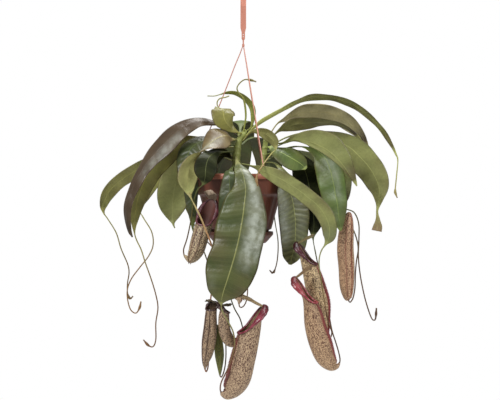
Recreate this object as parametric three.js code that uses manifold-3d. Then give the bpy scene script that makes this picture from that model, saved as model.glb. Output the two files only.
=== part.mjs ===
// A tropical pitcher plant in a hanging plastic pot.
//
// Millimetres, +Z up. The origin is the bearing point inside the top of the hook, so the whole
// plant hangs below it. The front of the plant faces -Y and its right side is +X.
import * as THREE from 'three';
import { mergeVertices } from 'three/addons/utils/BufferGeometryUtils.js';
import Module from 'manifold-3d';

const wasm = await Module();
wasm.setup();

// Driving dimensions of the pot and its hanger.
const POT_AXIS_X = -6;
const RIM_RADIUS = 95;
const RIM_TOP = -374;
const RIM_DEPTH = 10;
const SKIRT = 1.6;
const BAND_RADIUS = 89.2;
const BAND_BOTTOM = -413;
const BODY_TOP_RADIUS = 78.4;
const BODY_BOTTOM = -479;
const BODY_BOTTOM_RADIUS = 60.5;
const FOOT_RADIUS = 48;
const FOOT_BOTTOM = -501.2;
const POT_WALL = 2.4;
const FLUTE_DEPTH = 0.9;
const POT_SIDES = 40;
const BAND_STEP = 5;
const SOIL_TOP = -385;
const SOIL_MOUND = 3;
const STEM_HOLE_GAP = 0.5;
const SAUCER_RADIUS = 64;
const SAUCER_WALL = 1.8;
const SAUCER_FLOOR = 4.5;
const SAUCER_TOP = BODY_BOTTOM - 5;
const GAP = 0.3;
const HOOK_RADIUS = 12;
const HOOK_THICKNESS = 3;
const HOOK_TIP = 26;
const STRAP_HALF_WIDTH = 5.5;
const STRAP_HOLES = [-101.5, -106];
const STRAP_HOLE_RADIUS = 1;
const NECK_TOP = -110;
const NECK_THICKNESS = 2.6;
const HUB_RADIUS = 2.4;
const STRAP_END = -125;
const STRAND_RADIUS = 1.0;
const STRAND_RING = 91.2;
const STRAND_HOLE_RADIUS = STRAND_RADIUS + 0.6;
const STRAND_ANGLES = { left: 180, right_front: -60, right_back: 60 };
const TOGGLE = { length: 9, thickness: 2.4 };

// Driving dimensions of the plant.
const BLADE_EDGE = 0.4;
const MIDRIB = 1.3;
const BLADE_STEP = 26;
const STALK_STEP = 24;
const BLADE_MIN_WIDTH = 6.5;
const BLADE_DROOP = 0.1;
const STALK_MIN = 0.9;
const STEM_STEP = 40;
const PITCHER_STEP = 30;
const PITCHER_FOOT = 1.6;
const PETIOLE_GAP = 0.9;
const CUP_WALL = 1.5;
const CUP_FLOOR = 0.2;
const NECK_START = 0.55;
const MOUTH_CURVE = 1.5;
const COLLAR_FRONT = 0.75;
const COLLAR_FLARE = 0.75;
const WING_ANGLE = 20;
const WING_FOOT = 6;
const LID_HALF_THICKNESS = 0.7;
const LID_EDGE = 0.45;
const LID_HINGE_HALF_WIDTH = 1.6;
const LID_SINK = 2;
const LID_DROOP = 0.2;
const LID_NUDGE = 0.01;
const SLIVER = 0.12;

const COLOURS = {
  leafGreen: 0x55653a,
  leafDark: 0x4a4a38,
  leafBrown: 0x5e4e40,
  leafPale: 0x92965f,
  stem: 0xa3b15a,
  cup: 0xa58f6c,
  cupOlive: 0x7d7f4a,
  bud: 0xb07a58,
  rim: 0x8c2c3e,
  rimDark: 0x4d1c26,
  pot: 0x9a5540,
  soil: 0x3a2c22,
  hanger: 0xd08468,
};

const rad = THREE.MathUtils.degToRad;

// Gives a closed geometry shared vertices and faces that point outwards.
function closed(geometry) {
  geometry.deleteAttribute('normal');
  geometry.deleteAttribute('uv');
  const merged = mergeVertices(geometry, 1e-3);
  const source = Array.from(merged.index.array);
  const kept = [];
  for (let i = 0; i < source.length; i += 3) {
    const [a, b, c] = source.slice(i, i + 3);
    if (a !== b && b !== c && c !== a) kept.push(a, b, c);
  }
  const p = merged.attributes.position;
  const corner = [new THREE.Vector3(), new THREE.Vector3(), new THREE.Vector3()];
  let volume = 0;
  for (let i = 0; i < kept.length; i += 3) {
    corner.forEach((v, k) => v.fromBufferAttribute(p, kept[i + k]));
    volume += corner[0].dot(corner[1].clone().cross(corner[2]));
  }
  if (volume < 0) kept.reverse();
  merged.setIndex(kept);
  return merged;
}

// Turns a closed geometry into a solid for cutting and joining, and back.
function toSolid(geometry) {
  const ready = closed(geometry);
  return new wasm.Manifold(new wasm.Mesh({
    numProp: 3,
    vertProperties: new Float32Array(ready.attributes.position.array),
    triVerts: new Uint32Array(ready.index.array),
  }));
}

function fromSolid(solid) {
  const mesh = solid.getMesh();
  const geometry = new THREE.BufferGeometry();
  geometry.setAttribute('position', new THREE.BufferAttribute(mesh.vertProperties, 3));
  geometry.setIndex(new THREE.BufferAttribute(mesh.triVerts, 1));
  return geometry;
}

// Joins a row of equal loops into one closed skin with a fan over each end. Where a blade's
// upper and lower faces lie over each other, lowerFrom marks the loop's lower half, whose
// quads are split along the same diagonal as the upper ones.
function loft(loops, lowerFrom = Infinity) {
  const count = loops[0].length;
  const positions = loops.flat().flatMap((v) => [v.x, v.y, v.z]);
  const index = [];
  for (let i = 0; i + 1 < loops.length; i += 1) {
    for (let j = 0; j < count; j += 1) {
      const a = i * count + j;
      const b = i * count + ((j + 1) % count);
      const c = a + count;
      const d = b + count;
      if (j >= lowerFrom) index.push(a, b, c, b, d, c);
      else index.push(a, b, d, a, d, c);
    }
  }
  [0, loops.length - 1].forEach((at) => {
    const centre = new THREE.Vector3();
    loops[at].forEach((v) => centre.addScaledVector(v, 1 / count));
    const hub = positions.length / 3;
    positions.push(centre.x, centre.y, centre.z);
    for (let j = 0; j < count; j += 1) {
      const a = at * count + j;
      const b = at * count + ((j + 1) % count);
      if (at === 0) index.push(b, a, hub);
      else index.push(a, b, hub);
    }
  });
  const geometry = new THREE.BufferGeometry();
  geometry.setAttribute('position', new THREE.Float32BufferAttribute(positions, 3));
  geometry.setIndex(index);
  return closed(geometry);
}

// A smooth run through rows of numbers: the first three are a point, the next two are sizes
// that change along it. Returns stations spaced by the wanted step.
function stations(rows, stepOf) {
  const place = rows.map((r) => new THREE.Vector3(r[0], r[1], r[2]));
  const size = rows.map((r) => new THREE.Vector3(r[3], r[4] ?? 0, 0));
  const path = new THREE.CatmullRomCurve3(place, false, 'catmullrom', 0.5);
  const sizes = new THREE.CatmullRomCurve3(size, false, 'catmullrom', 0.5);
  const marks = [0];
  for (let i = 0; i + 1 < rows.length; i += 1) {
    const length = place[i].distanceTo(place[i + 1]);
    const parts = Math.max(1, Math.round(length / stepOf(rows[i], rows[i + 1])));
    for (let k = 1; k <= parts; k += 1) marks.push((i + k / parts) / (rows.length - 1));
  }
  return marks.map((u) => {
    const s = sizes.getPoint(u);
    return { u, at: path.getPoint(u), along: path.getTangent(u), size: s.x, turn: s.y };
  });
}

// A leaf with its stalk and tendril, grown as one piece. Across the blade it has five points
// above and five below, thicker at the midrib; along the stalk the outer points run together.
// The side of the blade is level and square to the heading, then turned about the midrib.
function leaf({ rows, heading, near = 1, far = 1 }) {
  const level = new THREE.Vector3(-Math.sin(rad(heading)), Math.cos(rad(heading)), 0);
  const step = (a, b) => (Math.max(a[3], b[3]) > BLADE_MIN_WIDTH ? BLADE_STEP : STALK_STEP);
  const loops = stations(rows, step).map(({ at, along, size, turn }) => {
    const side = level.clone().addScaledVector(along, -level.dot(along)).normalize();
    const up = along.clone().cross(side);
    const across = side.clone().multiplyScalar(Math.cos(rad(turn)));
    across.addScaledVector(up, Math.sin(rad(turn)));
    const face = along.clone().cross(across);
    const wide = size > BLADE_MIN_WIDTH;
    const half = Math.max(size, STALK_MIN);
    const rib = Math.min(MIDRIB, half);
    const edge = wide ? BLADE_EDGE : rib * 0.5;
    const columns = wide ? [-1, -0.5, 0, 0.5, 1] : [-1, -1, 0, 1, 1];
    const point = (f, sign) => {
      const reach = half * f * (f < 0 ? near : far);
      const droop = wide ? -BLADE_DROOP * half * f * f : 0;
      const height = sign * (edge + (rib - edge) * (1 - Math.abs(f)) ** 2);
      return at.clone().addScaledVector(across, reach).addScaledVector(face, droop + height);
    };
    const upper = columns.map((f) => point(f, 1));
    const lower = columns.map((f) => point(f, -1)).reverse();
    return [...upper, ...lower];
  });
  return loft(loops, 5);
}

// A round stem through rows of a point and a radius.
function stem(rows, sides = 8) {
  const loops = stations(rows, () => STEM_STEP).map(({ at, along, size }) => {
    const side = new THREE.Vector3(0, 1, 0).cross(along).normalize();
    const back = along.clone().cross(side);
    return Array.from({ length: sides }, (_, k) => {
      const a = (2 * Math.PI * k) / sides;
      const point = at.clone().addScaledVector(side, size * Math.cos(a));
      return point.addScaledVector(back, size * Math.sin(a));
    });
  });
  return loft(loops);
}

// The directions round a pitcher: nought is its front, where two narrow wings stand out.
const RING = [0, WING_ANGLE - WING_FOOT, WING_ANGLE, WING_ANGLE + WING_FOOT, 55, 90, 125, 160]
  .concat([200, 235, 270, 305, 360 - WING_ANGLE - WING_FOOT, 360 - WING_ANGLE])
  .concat([360 - WING_ANGLE + WING_FOOT]);
const CRESTS = [WING_ANGLE, 360 - WING_ANGLE];

// The frame of a pitcher at a station: along it, towards its front, and square to both.
function pitcherFrame(station, front) {
  const level = new THREE.Vector3(-Math.sin(rad(front)), Math.cos(rad(front)), 0);
  const { along } = station;
  const cross = level.addScaledVector(along, -level.dot(along)).normalize();
  return { at: station.at, along, cross, front: cross.clone().cross(along) };
}

// How far the mouth's edge is raised towards the back of the pitcher, nought below the neck.
function neck(u) {
  const t = Math.min(1, Math.max(0, (u - NECK_START) / (1 - NECK_START)));
  return t * t * (3 - 2 * t);
}

// One loop round a pitcher. The wall sweeps up to the back, steeper as it goes, and leans over
// the mouth there.
function pitcherLoop(station, front, radius, { rise = 0, lean = 0, wing = 0 }) {
  const frame = pitcherFrame(station, front);
  return RING.map((angle) => {
    const back = (1 - Math.cos(rad(angle))) / 2;
    const r = radius + (CRESTS.includes(angle) ? wing * Math.sin(Math.PI * station.u) : 0);
    const point = frame.at.clone();
    point.addScaledVector(frame.front, r * Math.cos(rad(angle)) + lean * back * back * neck(station.u));
    point.addScaledVector(frame.cross, r * Math.sin(rad(angle)));
    point.addScaledVector(frame.along, rise * back ** MOUTH_CURVE * neck(station.u));
    return point;
  });
}

// The hollow jug of an open pitcher: up the outside, over the mouth and down the inside.
function cup({ rows, front, rise, lean, wing }) {
  const line = stations(rows, () => PITCHER_STEP);
  const outside = line.map((s) => pitcherLoop(s, front, s.size, { rise, lean, wing }));
  const hollow = line.filter((s) => s.size > CUP_WALL * 3 && s.u > CUP_FLOOR).reverse();
  const inside = hollow.map((s) => pitcherLoop(s, front, s.size - CUP_WALL, { rise, lean }));
  return loft([...outside, ...inside]);
}

// A pitcher that hasn't opened yet: solid, with its wings and a blunt closed top.
function bud({ rows, front, wing }) {
  const line = stations(rows, () => PITCHER_STEP);
  return loft(line.map((s) => pitcherLoop(s, front, s.size, { wing })));
}

// The rolled collar that stands on a pitcher's mouth, broader at the back, with the lid on its
// raised back. The section is given outwards and upwards from the middle of the mouth's edge.
const COLLAR_SEAT = 0.75;
const COLLAR = [[-1.7, COLLAR_SEAT], [-1.5, 1.8], [0.2, 2.5], [2.6, 1.9], [3.4, 0.6], [1.6, COLLAR_SEAT]];

function collarAndLid({ rows, front, rise, lean, collar, lid }) {
  const mouth = stations(rows, () => PITCHER_STEP).at(-1);
  const frame = pitcherFrame(mouth, front);
  const edge = pitcherLoop(mouth, front, mouth.size, { rise, lean });
  const count = edge.length;
  const loops = edge.map((point, k) => {
    const next = edge[(k + 1) % count];
    const last = edge[(k + count - 1) % count];
    const angle = rad(RING[k]);
    const out = frame.front.clone().multiplyScalar(Math.cos(angle));
    out.addScaledVector(frame.cross, Math.sin(angle));
    const up = out.clone().cross(next.clone().sub(last)).normalize();
    const broad = collar * (COLLAR_FRONT + COLLAR_FLARE * ((1 - Math.cos(angle)) / 2));
    return COLLAR.map(([a, b]) => {
      const inward = a < 0 ? a - CUP_WALL * 0.4 : a * broad;
      const height = b > COLLAR_SEAT ? b * collar : b;
      return point.clone().addScaledVector(out, inward).addScaledVector(up, height);
    });
  });
  const positions = loops.flat().flatMap((v) => [v.x, v.y, v.z]);
  const sides = COLLAR.length;
  const index = [];
  for (let i = 0; i < count; i += 1) {
    for (let j = 0; j < sides; j += 1) {
      const a = i * sides + j;
      const b = i * sides + ((j + 1) % sides);
      const c = ((i + 1) % count) * sides + j;
      const d = ((i + 1) % count) * sides + ((j + 1) % sides);
      index.push(a, b, d, a, d, c);
    }
  }
  const ring = new THREE.BufferGeometry();
  ring.setAttribute('position', new THREE.Float32BufferAttribute(positions, 3));
  ring.setIndex(index);
  const hinge = edge[RING.indexOf(160)].clone().add(edge[RING.indexOf(200)]).multiplyScalar(0.5);
  const lidPath = (t) => [
    (lid.length * Math.sin(lid.bend * t)) / Math.sin(lid.bend) - LID_SINK,
    2 * collar + lid.lift * Math.sin(Math.PI * 0.9 * t),
  ];
  const lidLoops = [0, 0.12, 0.3, 0.5, 0.7, 0.88, 1].map((t) => {
    const [reach, lift] = lidPath(t);
    const [reachOn, liftOn] = lidPath(t + LID_NUDGE);
    const face = frame.along.clone().multiplyScalar(reachOn - reach);
    face.addScaledVector(frame.front, lift - liftOn).normalize();
    const spread = Math.sin(Math.PI * Math.min(1, 0.06 + t * 0.94)) ** 0.7;
    const half = LID_HINGE_HALF_WIDTH + (lid.width / 2 - LID_HINGE_HALF_WIDTH) * spread;
    const at = hinge.clone().addScaledVector(frame.front, reach);
    at.addScaledVector(frame.along, lift);
    const point = (f, sign) => {
      const thick = sign * (f === 0 ? LID_HALF_THICKNESS : LID_EDGE);
      const corner = at.clone().addScaledVector(frame.cross, half * f);
      return corner.addScaledVector(face, thick - Math.abs(f) * half * LID_DROOP);
    };
    return [...[-1, 0, 1].map((f) => point(f, 1)), ...[1, 0, -1].map((f) => point(f, -1))];
  });
  return fromSolid(toSolid(ring).add(toSolid(loft(lidLoops))).simplify(SLIVER));
}

// Every leaf: where it heads from the stem, then points from its foot to the end of its
// tendril, each with half the width there and the turn about the midrib in degrees.
const LEAVES = [
  {
    name: 'leaf_front', heading: -90,
    rows: [
      [-14, -18, -340, 3, 0], [-12, -42, -348, 3, 0], [-9, -68, -356, 6, 0], [-5, -92, -364, 12, 0],
      [1, -109, -380, 17, 0], [5, -118, -403, 27, 0], [3, -123, -428, 38, 0], [-1, -128, -459, 45, 0],
      [-7, -132, -492, 46, 0], [-13, -135, -517, 45, 0], [-20, -138, -542, 46, 0],
      [-28, -140, -567, 42, 0], [-36, -140, -592, 28, 0], [-39, -138, -610, 3, 0],
      [-37, -139, -623, 1.3, 0], [-26, -142, -643, 1.3, 0], [-17, -144, -662, 1.3, 0],
      [-15, -145, -686, 1.3, 0], [-24, -143, -720, 1.3, 0], [-38, -137, -750, 1.3, 0],
      [-41, -132, -764, 1.3, 0], [-40, -128, -772, 1.3, 0],
    ],
  },
  {
    name: 'leaf_glossy_left', heading: 190, colour: 'leafPale',
    rows: [
      [-15, -11.5, -306, 3, 0], [-22, -30, -305, 6, -28], [-32, -42, -301, 21, -50],
      [-49, -54, -307, 27, -55], [-65, -62, -319, 18, -38], [-77, -68, -331, 8, 0],
      [-91, -72, -344, 14, 45], [-100, -76, -363, 19, 70], [-104, -78, -384, 20, 75],
      [-102, -80, -402, 12, 75], [-97, -88, -418, 2, 75], [-85, -114, -439, 1.7, 75],
      [-75, -122, -459, 1.7, 75], [-68, -124, -477, 1.7, 75], [-61, -123, -494, 1.7, 75],
      [-52, -114, -525, 1.4, 75], [-53, -104, -561, 1.4, 75], [-59, -90, -599, 1.4, 75],
      [-63, -80, -637, 1.4, 75], [-64, -79, -674, 1.3, 75], [-64, -81, -711, 1.3, 75],
      [-65, -88, -733, 1.3, 75], [-68, -96, -740, 1.3, 75], [-70, -99, -735, 1.3, 75],
    ],
  },
  {
    name: 'leaf_upright', heading: 190, colour: 'leafPale',
    rows: [
      [-4.5, -11, -294.5, 2.6, 0], [-12, -22, -292, 3, -60], [-25, -32, -284, 10, -85],
      [-35, -36, -271, 20, -88], [-38, -34, -259, 22.5, -88], [-40, -27, -249, 22, -88],
      [-42, -18, -245, 15, -88], [-46, -13, -246, 2, -88], [-50, -12, -240, 1.2, -88],
      [-50, -12, -233, 1.2, -88], [-45, -12, -227, 1.2, -88], [-35, -12, -225, 1.2, -88],
      [-27, -12, -222, 1.2, -88],
    ],
  },
  {
    name: 'leaf_dark_arch', heading: 180, colour: 'leafBrown',
    rows: [
      [-10, -3.5, -300, 3, 0], [-33, -12, -282, 4, -20], [-60, -20, -274, 8, -45],
      [-85, -28, -273, 13, -50], [-109, -36, -282, 19, -55], [-133, -42, -300, 23, -55],
      [-156, -46, -324, 24, -55], [-178, -49, -349, 20, -50], [-197, -51, -379, 16, -45],
      [-215, -52, -419, 14, -45], [-220, -53, -446, 13, -40], [-216, -54, -476, 9, -35],
      [-209, -55, -493, 2, -35],
    ],
  },
  {
    name: 'leaf_pale_folded', heading: 180, colour: 'leafPale',
    rows: [
      [-13.5, 45, -304, 3, 0], [-56, 36, -306, 3, 10], [-89, 26, -301, 5, 30], [-116, 12, -309, 14, 55],
      [-138, -2, -325, 22, 60], [-160, -14, -345, 24, 60], [-179, -22, -367, 24, 60],
      [-193, -26, -394, 22, 60], [-203, -28, -425, 17, 60], [-208, -29, -455, 10, 60],
      [-208, -30, -483, 2, 60], [-204, -30, -499, 1.2, 60], [-195, -30, -518, 1.2, 60],
      [-187, -30, -543, 1.2, 60], [-176, -30, -574, 1.2, 60], [-167, -30, -604, 1.2, 60],
      [-163, -30, -629, 1.2, 60], [-167, -30, -658, 1.2, 60], [-167, -30, -689, 1.2, 60],
      [-172, -30, -703, 1.2, 60], [-181, -30, -701, 1.2, 60], [-191, -30, -690, 1.2, 60],
    ],
  },
  {
    name: 'leaf_back_left', heading: 178, colour: 'leafPale',
    rows: [
      [-15.5, 46.5, -318, 3, 0], [-59, 52, -317, 4, 20], [-103, 54, -317, 12, 45],
      [-134, 53, -328, 21, 55], [-162, 51, -351, 24, 60], [-183, 49, -383, 20, 60],
      [-197, 46, -415, 12, 60], [-205, 44, -443, 2, 60], [-198, 44, -459, 1.2, 60],
      [-182, 43, -486, 1.2, 60], [-179, 42, -512, 1.2, 60], [-188, 42, -534, 1.2, 60],
      [-205, 42, -556, 1.2, 60], [-222, 42, -579, 1.2, 60], [-230, 42, -601, 1.2, 60],
      [-229, 42, -623, 1.2, 60], [-223, 42, -641, 1.2, 60], [-213, 42, -647, 1.2, 60],
      [-206, 42, -637, 1.6, 60], [-203, 42, -624, 1.6, 60],
    ],
  },
  {
    name: 'leaf_far_left', heading: 165, colour: 'leafPale',
    rows: [
      [-16, 47.5, -334, 3, 0], [-59, 62, -335, 3, 0], [-108, 72, -330, 4, 10], [-158, 78, -336, 12, 30],
      [-193, 80, -349, 17, 38], [-221, 79, -365, 18, 40], [-253, 77, -387, 17, 40],
      [-274, 75, -411, 15, 40], [-282, 73, -433, 9, 40], [-281, 72, -449, 2, 40],
      [-273, 72, -461, 1.2, 40], [-256, 72, -489, 1.2, 40], [-246, 71, -521, 1.2, 40],
      [-233, 70, -551, 1.2, 40], [-230, 70, -569, 1.2, 40], [-233, 70, -590, 1.2, 40],
      [-233, 70, -610, 1.2, 40], [-228, 70, -621, 1.5, 40], [-222, 70, -616, 1.5, 40],
    ],
  },
  {
    name: 'leaf_deep_green', heading: 185, colour: 'leafDark',
    rows: [
      [-17, -11.5, -318, 3, 0], [-41, -20, -313, 4, -20], [-65, -28, -309, 14, -40],
      [-90, -36, -317, 22, -50], [-104, -46, -336, 23, -65], [-105, -56, -364, 20, -80],
      [-99, -62, -397, 15, -85], [-97, -62, -430, 11, -85], [-95, -59, -455, 7, -85],
      [-95, -56, -476, 2, -85], [-89, -56, -495, 1.2, -85], [-75, -60, -517, 1.2, -85],
      [-62, -64, -554, 1.2, -85], [-45, -68, -610, 1.2, -85], [-35, -70, -657, 1.2, -85],
      [-32, -72, -700, 1.2, -85], [-33, -74, -729, 1.2, -85], [-37, -78, -747, 1.2, -85],
      [-41, -81, -753, 1.2, -85], [-43, -82, -749, 1.2, -85],
    ],
  },
  {
    name: 'leaf_broad_olive', heading: 182, colour: 'leafPale',
    rows: [
      [-17.5, 44, -347, 3, 0], [-56, 36, -332, 3, 10], [-80, 32, -326, 4, 30], [-101, 27, -331, 11, 60],
      [-119, 24, -350, 22, 80], [-129, 21, -378, 31, 88], [-136, 18, -407, 33, 90],
      [-138, 16, -435, 27, 90], [-138, 15, -454, 15, 90], [-137, 14, -469, 2.5, 90],
      [-134, 14, -478, 1.2, 90],
    ],
  },
  {
    name: 'leaf_shaded', heading: 215, colour: 'leafDark',
    rows: [
      [-19.5, -15, -330, 3, 0], [-33, -36, -331, 3, -10], [-49, -58, -333, 8, -30],
      [-61, -80, -341, 16, -50], [-67, -94, -354, 21, -60], [-69, -101, -369, 21, -60],
      [-70, -103, -384, 13, -60], [-74, -101, -395, 2, -60], [-84, -92, -404, 1.2, -60],
      [-92, -82, -427, 1.2, -60], [-97, -78, -460, 1.2, -60], [-104, -82, -494, 1.2, -60],
      [-110, -89, -514, 1.2, -60], [-109, -95, -525, 1.2, -60],
    ],
  },
  {
    name: 'leaf_low_front', heading: -100,
    rows: [
      [-17.5, -17.5, -356, 3, 0], [-22, -40, -363, 3, 0], [-24, -70, -368, 5, 0],
      [-25, -94, -370, 9, 0], [-25, -104, -384, 14, 0], [-23, -107, -414, 22, 0],
      [-20, -109, -450, 26.5, 0], [-22, -111, -491, 27, 0], [-25, -113, -529, 20, 0],
      [-26, -112, -560, 9, 0], [-25, -110, -581, 2, 0], [-23, -102, -601, 1.2, 0],
      [-16, -94, -623, 1.2, 0], [-6, -88, -642, 1.2, 0], [-1, -86, -659, 1.2, 0],
      [0, -88, -670, 1.2, 0], [-3, -91, -675, 1.2, 0],
    ],
  },
  {
    name: 'leaf_long_arch', heading: -5, colour: 'leafPale',
    rows: [
      [6.5, -7, -297, 2.8, 0], [30, -14, -275, 4.5, -50], [55, -20, -260, 5, -50],
      [78, -26, -248, 6.2, -35], [101, -30, -235, 13, -12], [127, -33, -226, 19, -12],
      [156, -35, -225, 21, -12], [184, -36, -230, 21, -12], [213, -37, -242, 20, -12],
      [239, -38, -261, 18, -14], [262, -39, -285, 15, -16], [279, -40, -311, 10, -18],
      [290, -41, -335, 4, -18], [294, -41, -347, 1.3, -18], [292, -41, -373, 1.2, -18],
      [289, -41, -404, 1.2, -18], [290, -41, -411, 1.2, -18], [293, -41, -419, 1.2, -18],
    ],
  },
  {
    name: 'leaf_olive_brown', heading: 8, colour: 'leafBrown',
    rows: [
      [50, 6, -298, 3, 0], [66, 18, -274, 4, -10], [86, 28, -260, 14, -30], [110, 34, -251, 22, -38],
      [137, 37, -248, 25, -38], [167, 39, -250, 25, -36], [193, 40, -260, 24, -34],
      [217, 42, -277, 20, -30], [235, 44, -296, 13, -25], [247, 46, -316, 3, -20],
    ],
  },
  {
    name: 'leaf_brown_inner', heading: -6, colour: 'leafBrown',
    rows: [
      [49, 3.5, -309, 3, 0], [65, -7, -292, 4, -20], [82, -11, -282, 12, -42],
      [102, -14, -276, 17, -46], [125, -17, -274, 17, -40], [147, -20, -272, 15, -25],
      [172, -24, -274, 14, -15], [195, -28, -282, 12, -15], [214, -31, -296, 8, -15],
      [225, -33, -308, 2, -15],
    ],
  },
  {
    name: 'leaf_right_twisted', heading: 2, colour: 'leafPale',
    rows: [
      [47.5, 7.5, -322, 3, 0], [81, 14, -302, 4, -10], [117, 17, -293, 8, -20],
      [154, 17, -295, 16, -30], [185, 16, -306, 24, -45], [212, 13, -323, 29, -55],
      [235, 10, -346, 30, -60], [253, 7, -370, 28, -60], [264, 4, -398, 22, -60],
      [264, 2, -423, 10, -45], [260, 1, -444, 4, -20], [261, 0, -460, 5, -50], [261, 0, -473, 9, -70],
      [259, 0, -483, 10, -75],
    ],
  },
  {
    name: 'leaf_light_arch', heading: -5, near: 1, far: 0.3, colour: 'leafPale',
    rows: [
      [45.5, 0, -303, 3, 0], [71, -24, -315, 4, -20], [95, -40, -309, 10, -50],
      [115, -47, -310, 20, -65], [136, -51, -316, 29, -70], [160, -54, -329, 33, -72],
      [181, -56, -348, 26, -72], [197, -58, -369, 16, -70], [208, -59, -387, 7, -65],
      [214, -59, -397, 1.5, -65],
    ],
  },
  {
    name: 'leaf_green_hanging', heading: -60,
    rows: [
      [45.5, 4, -335, 3, 0], [77, -12, -325, 4, 0], [105, -24, -320, 8, 0], [131, -31, -325, 16, 0],
      [152, -34, -339, 26, 0], [165, -36, -364, 32, 0], [171, -37, -392, 33, 0],
      [177, -38, -423, 28, 0], [181, -38, -450, 20, 0], [184, -38, -469, 11, 0], [185, -38, -482, 2, 0],
    ],
  },
  {
    name: 'leaf_front_right', heading: -5, colour: 'leafPale',
    rows: [
      [-9.5, -15.5, -352, 3, 0], [5, -48, -356, 3, -10], [19, -80, -361, 4, -30],
      [35, -102, -368, 10, -50], [54, -112, -376, 15, -60], [75, -117, -387, 17, -62],
      [97, -119, -401, 17, -62], [117, -120, -416, 17, -62], [135, -120, -431, 17, -64],
      [150, -119, -450, 17, -68], [158, -118, -472, 15, -72], [158, -117, -490, 12, -72],
      [151, -115, -504, 2.5, -72], [143, -110, -518, 1.2, -72], [140, -103, -539, 1.2, -72],
      [144, -97, -569, 1.2, -72], [150, -93, -606, 1.2, -72], [156, -91, -640, 1.2, -72],
      [161, -88, -657, 1.2, -72], [165, -85, -668, 1.2, -72], [164, -82, -677, 1.2, -72],
      [161, -80, -678, 1.2, -72],
    ],
  },
  {
    name: 'leaf_quilted', heading: -65,
    rows: [
      [44, 3.5, -350, 3, 0], [59, -28, -352, 3, 0], [70, -54, -362, 6, 0], [78, -67, -378, 14, 0],
      [87, -62, -404, 25, 0], [96, -50, -440, 32, 0], [99, -43, -478, 31, 0], [97, -40, -510, 27, 0],
      [92, -39, -533, 18, 0], [89, -39, -546, 3, 0],
    ],
  },
  {
    name: 'leaf_shadow_right', heading: -20, colour: 'leafDark',
    rows: [
      [46, 9, -340, 3, 0], [81, 10, -341, 3, 20], [102, 4, -341, 14, 45], [118, -4, -363, 25, 62],
      [127, -12, -396, 28, 66], [133, -17, -434, 26, 70], [136, -20, -469, 16, 70],
      [134, -22, -496, 2, 70], [138, -28, -522, 1.2, 70], [144, -34, -553, 1.2, 70],
      [154, -38, -598, 1.2, 70], [163, -42, -641, 1.2, 70], [168, -54, -670, 1.2, 70],
      [173, -74, -688, 1.2, 70], [177, -91, -704, 1.2, 70], [179, -99, -716, 1.2, 70],
      [178, -103, -723, 1.2, 70],
    ],
  },
  {
    name: 'leaf_short_olive', heading: -12, colour: 'leafPale',
    rows: [
      [-0.5, -11, -308.5, 2.6, 0], [13, -20, -294, 3, -20], [28, -28, -292, 8, -50],
      [45, -34, -298, 13, -60], [59, -38, -310, 12, -60], [62, -40, -322, 5, -60],
      [61, -44, -328, 1.2, -60], [54, -62, -335, 1.2, -60], [45, -94, -347, 1.2, -60],
      [34, -119, -363, 1.2, -60], [25, -128, -381, 1.2, -60], [27, -131, -398, 1.6, -60],
    ],
  },
  {
    name: 'leaf_bright_rib', heading: -35,
    rows: [
      [44.5, 2, -321, 2.6, 0], [52, -18, -321, 4, 30], [66, -33, -330, 15, 40], [85, -43, -340, 23, 45],
      [106, -48, -353, 20, 45], [119, -53, -364, 3, 45],
    ],
  },
  {
    name: 'leaf_inner_dark', heading: 178,
    rows: [
      [-14, 40.5, -340, 3, 0], [-24, 24, -340, 4, 20], [-36, 10, -335, 12, 45], [-51, -6, -338, 17, 60],
      [-65, -22, -345, 17, 60], [-76, -36, -355, 10, 60], [-80, -44, -363, 3, 60],
    ],
  },
  {
    name: 'leaf_behind_right', heading: 38,
    rows: [
      [45.5, 10.5, -328, 3, 0], [86, 44, -308, 4, 0], [123, 70, -300, 16, -10],
      [159, 84, -314, 25, -20], [181, 88, -342, 29, -30], [193, 84, -376, 27, -40],
      [198, 74, -413, 17, -40], [200, 62, -437, 3, -40], [204, 45, -455, 1.3, -40],
      [212, 20, -474, 1.3, -40], [219, 0, -495, 1.3, -40], [222, -10, -517, 1.3, -40],
      [218, -14, -542, 1.3, -40], [216, -15, -565, 1.3, -40], [215, -16, -592, 1.3, -40],
      [211, -17, -612, 1.3, -40], [205, -17, -620, 1.3, -40], [203, -16, -616, 1.3, -40],
    ],
  },
  {
    name: 'leaf_far_right', heading: 58,
    rows: [
      [43, 12.5, -346, 3, 0], [73, 52, -331, 4, 0], [103, 104, -321, 16, 0], [131, 138, -330, 26, 0],
      [153, 154, -360, 30, 0], [165, 150, -398, 24, 0], [178, 124, -429, 10, 0],
      [192, 92, -441, 2.4, 0], [208, 72, -442, 1.3, 0], [222, 60, -449, 1.3, 0],
      [230, 56, -471, 1.3, 0], [230, 54, -503, 1.3, 0], [229, 54, -536, 1.3, 0],
      [233, 54, -574, 1.3, 0], [241, 54, -614, 1.3, 0], [250, 54, -645, 1.3, 0],
      [257, 54, -661, 1.3, 0], [263, 54, -660, 1.6, 0], [265, 54, -638, 1.6, 0],
    ],
  },
  {
    name: 'shoot_spear', heading: 180, colour: 'stem',
    rows: [
      [4.5, 0, -289.5, 2, 0], [15, 6, -281, 3, 30], [19, 9, -261, 6, 50], [18, 10, -245, 7, 55],
      [10, 10, -231, 7, 50], [-3, 10, -220, 7, 40], [-18, 10, -214, 6, 35], [-34, 10, -214, 4, 30],
      [-45, 10, -217, 1, 0], [-56, 10, -220, 0.8, 0], [-70, 10, -220, 0.8, 0],
    ],
  },
  {
    name: 'shoot_tendril', heading: 180, colour: 'stem',
    rows: [
      [1, -13, -290, 2, 0], [2, -15, -282, 2.4, 20], [5, -16, -259, 3, 30], [1, -16, -230, 3, 30],
      [-9, -15, -216, 1.8, 0], [-12, -15, -207, 1.2, 0], [-7, -15, -198, 1.2, 0],
      [3, -15, -191, 1.2, 0], [15, -14, -192, 1.2, 0], [25, -13, -195, 1.3, 0],
    ],
  },
  {
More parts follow.
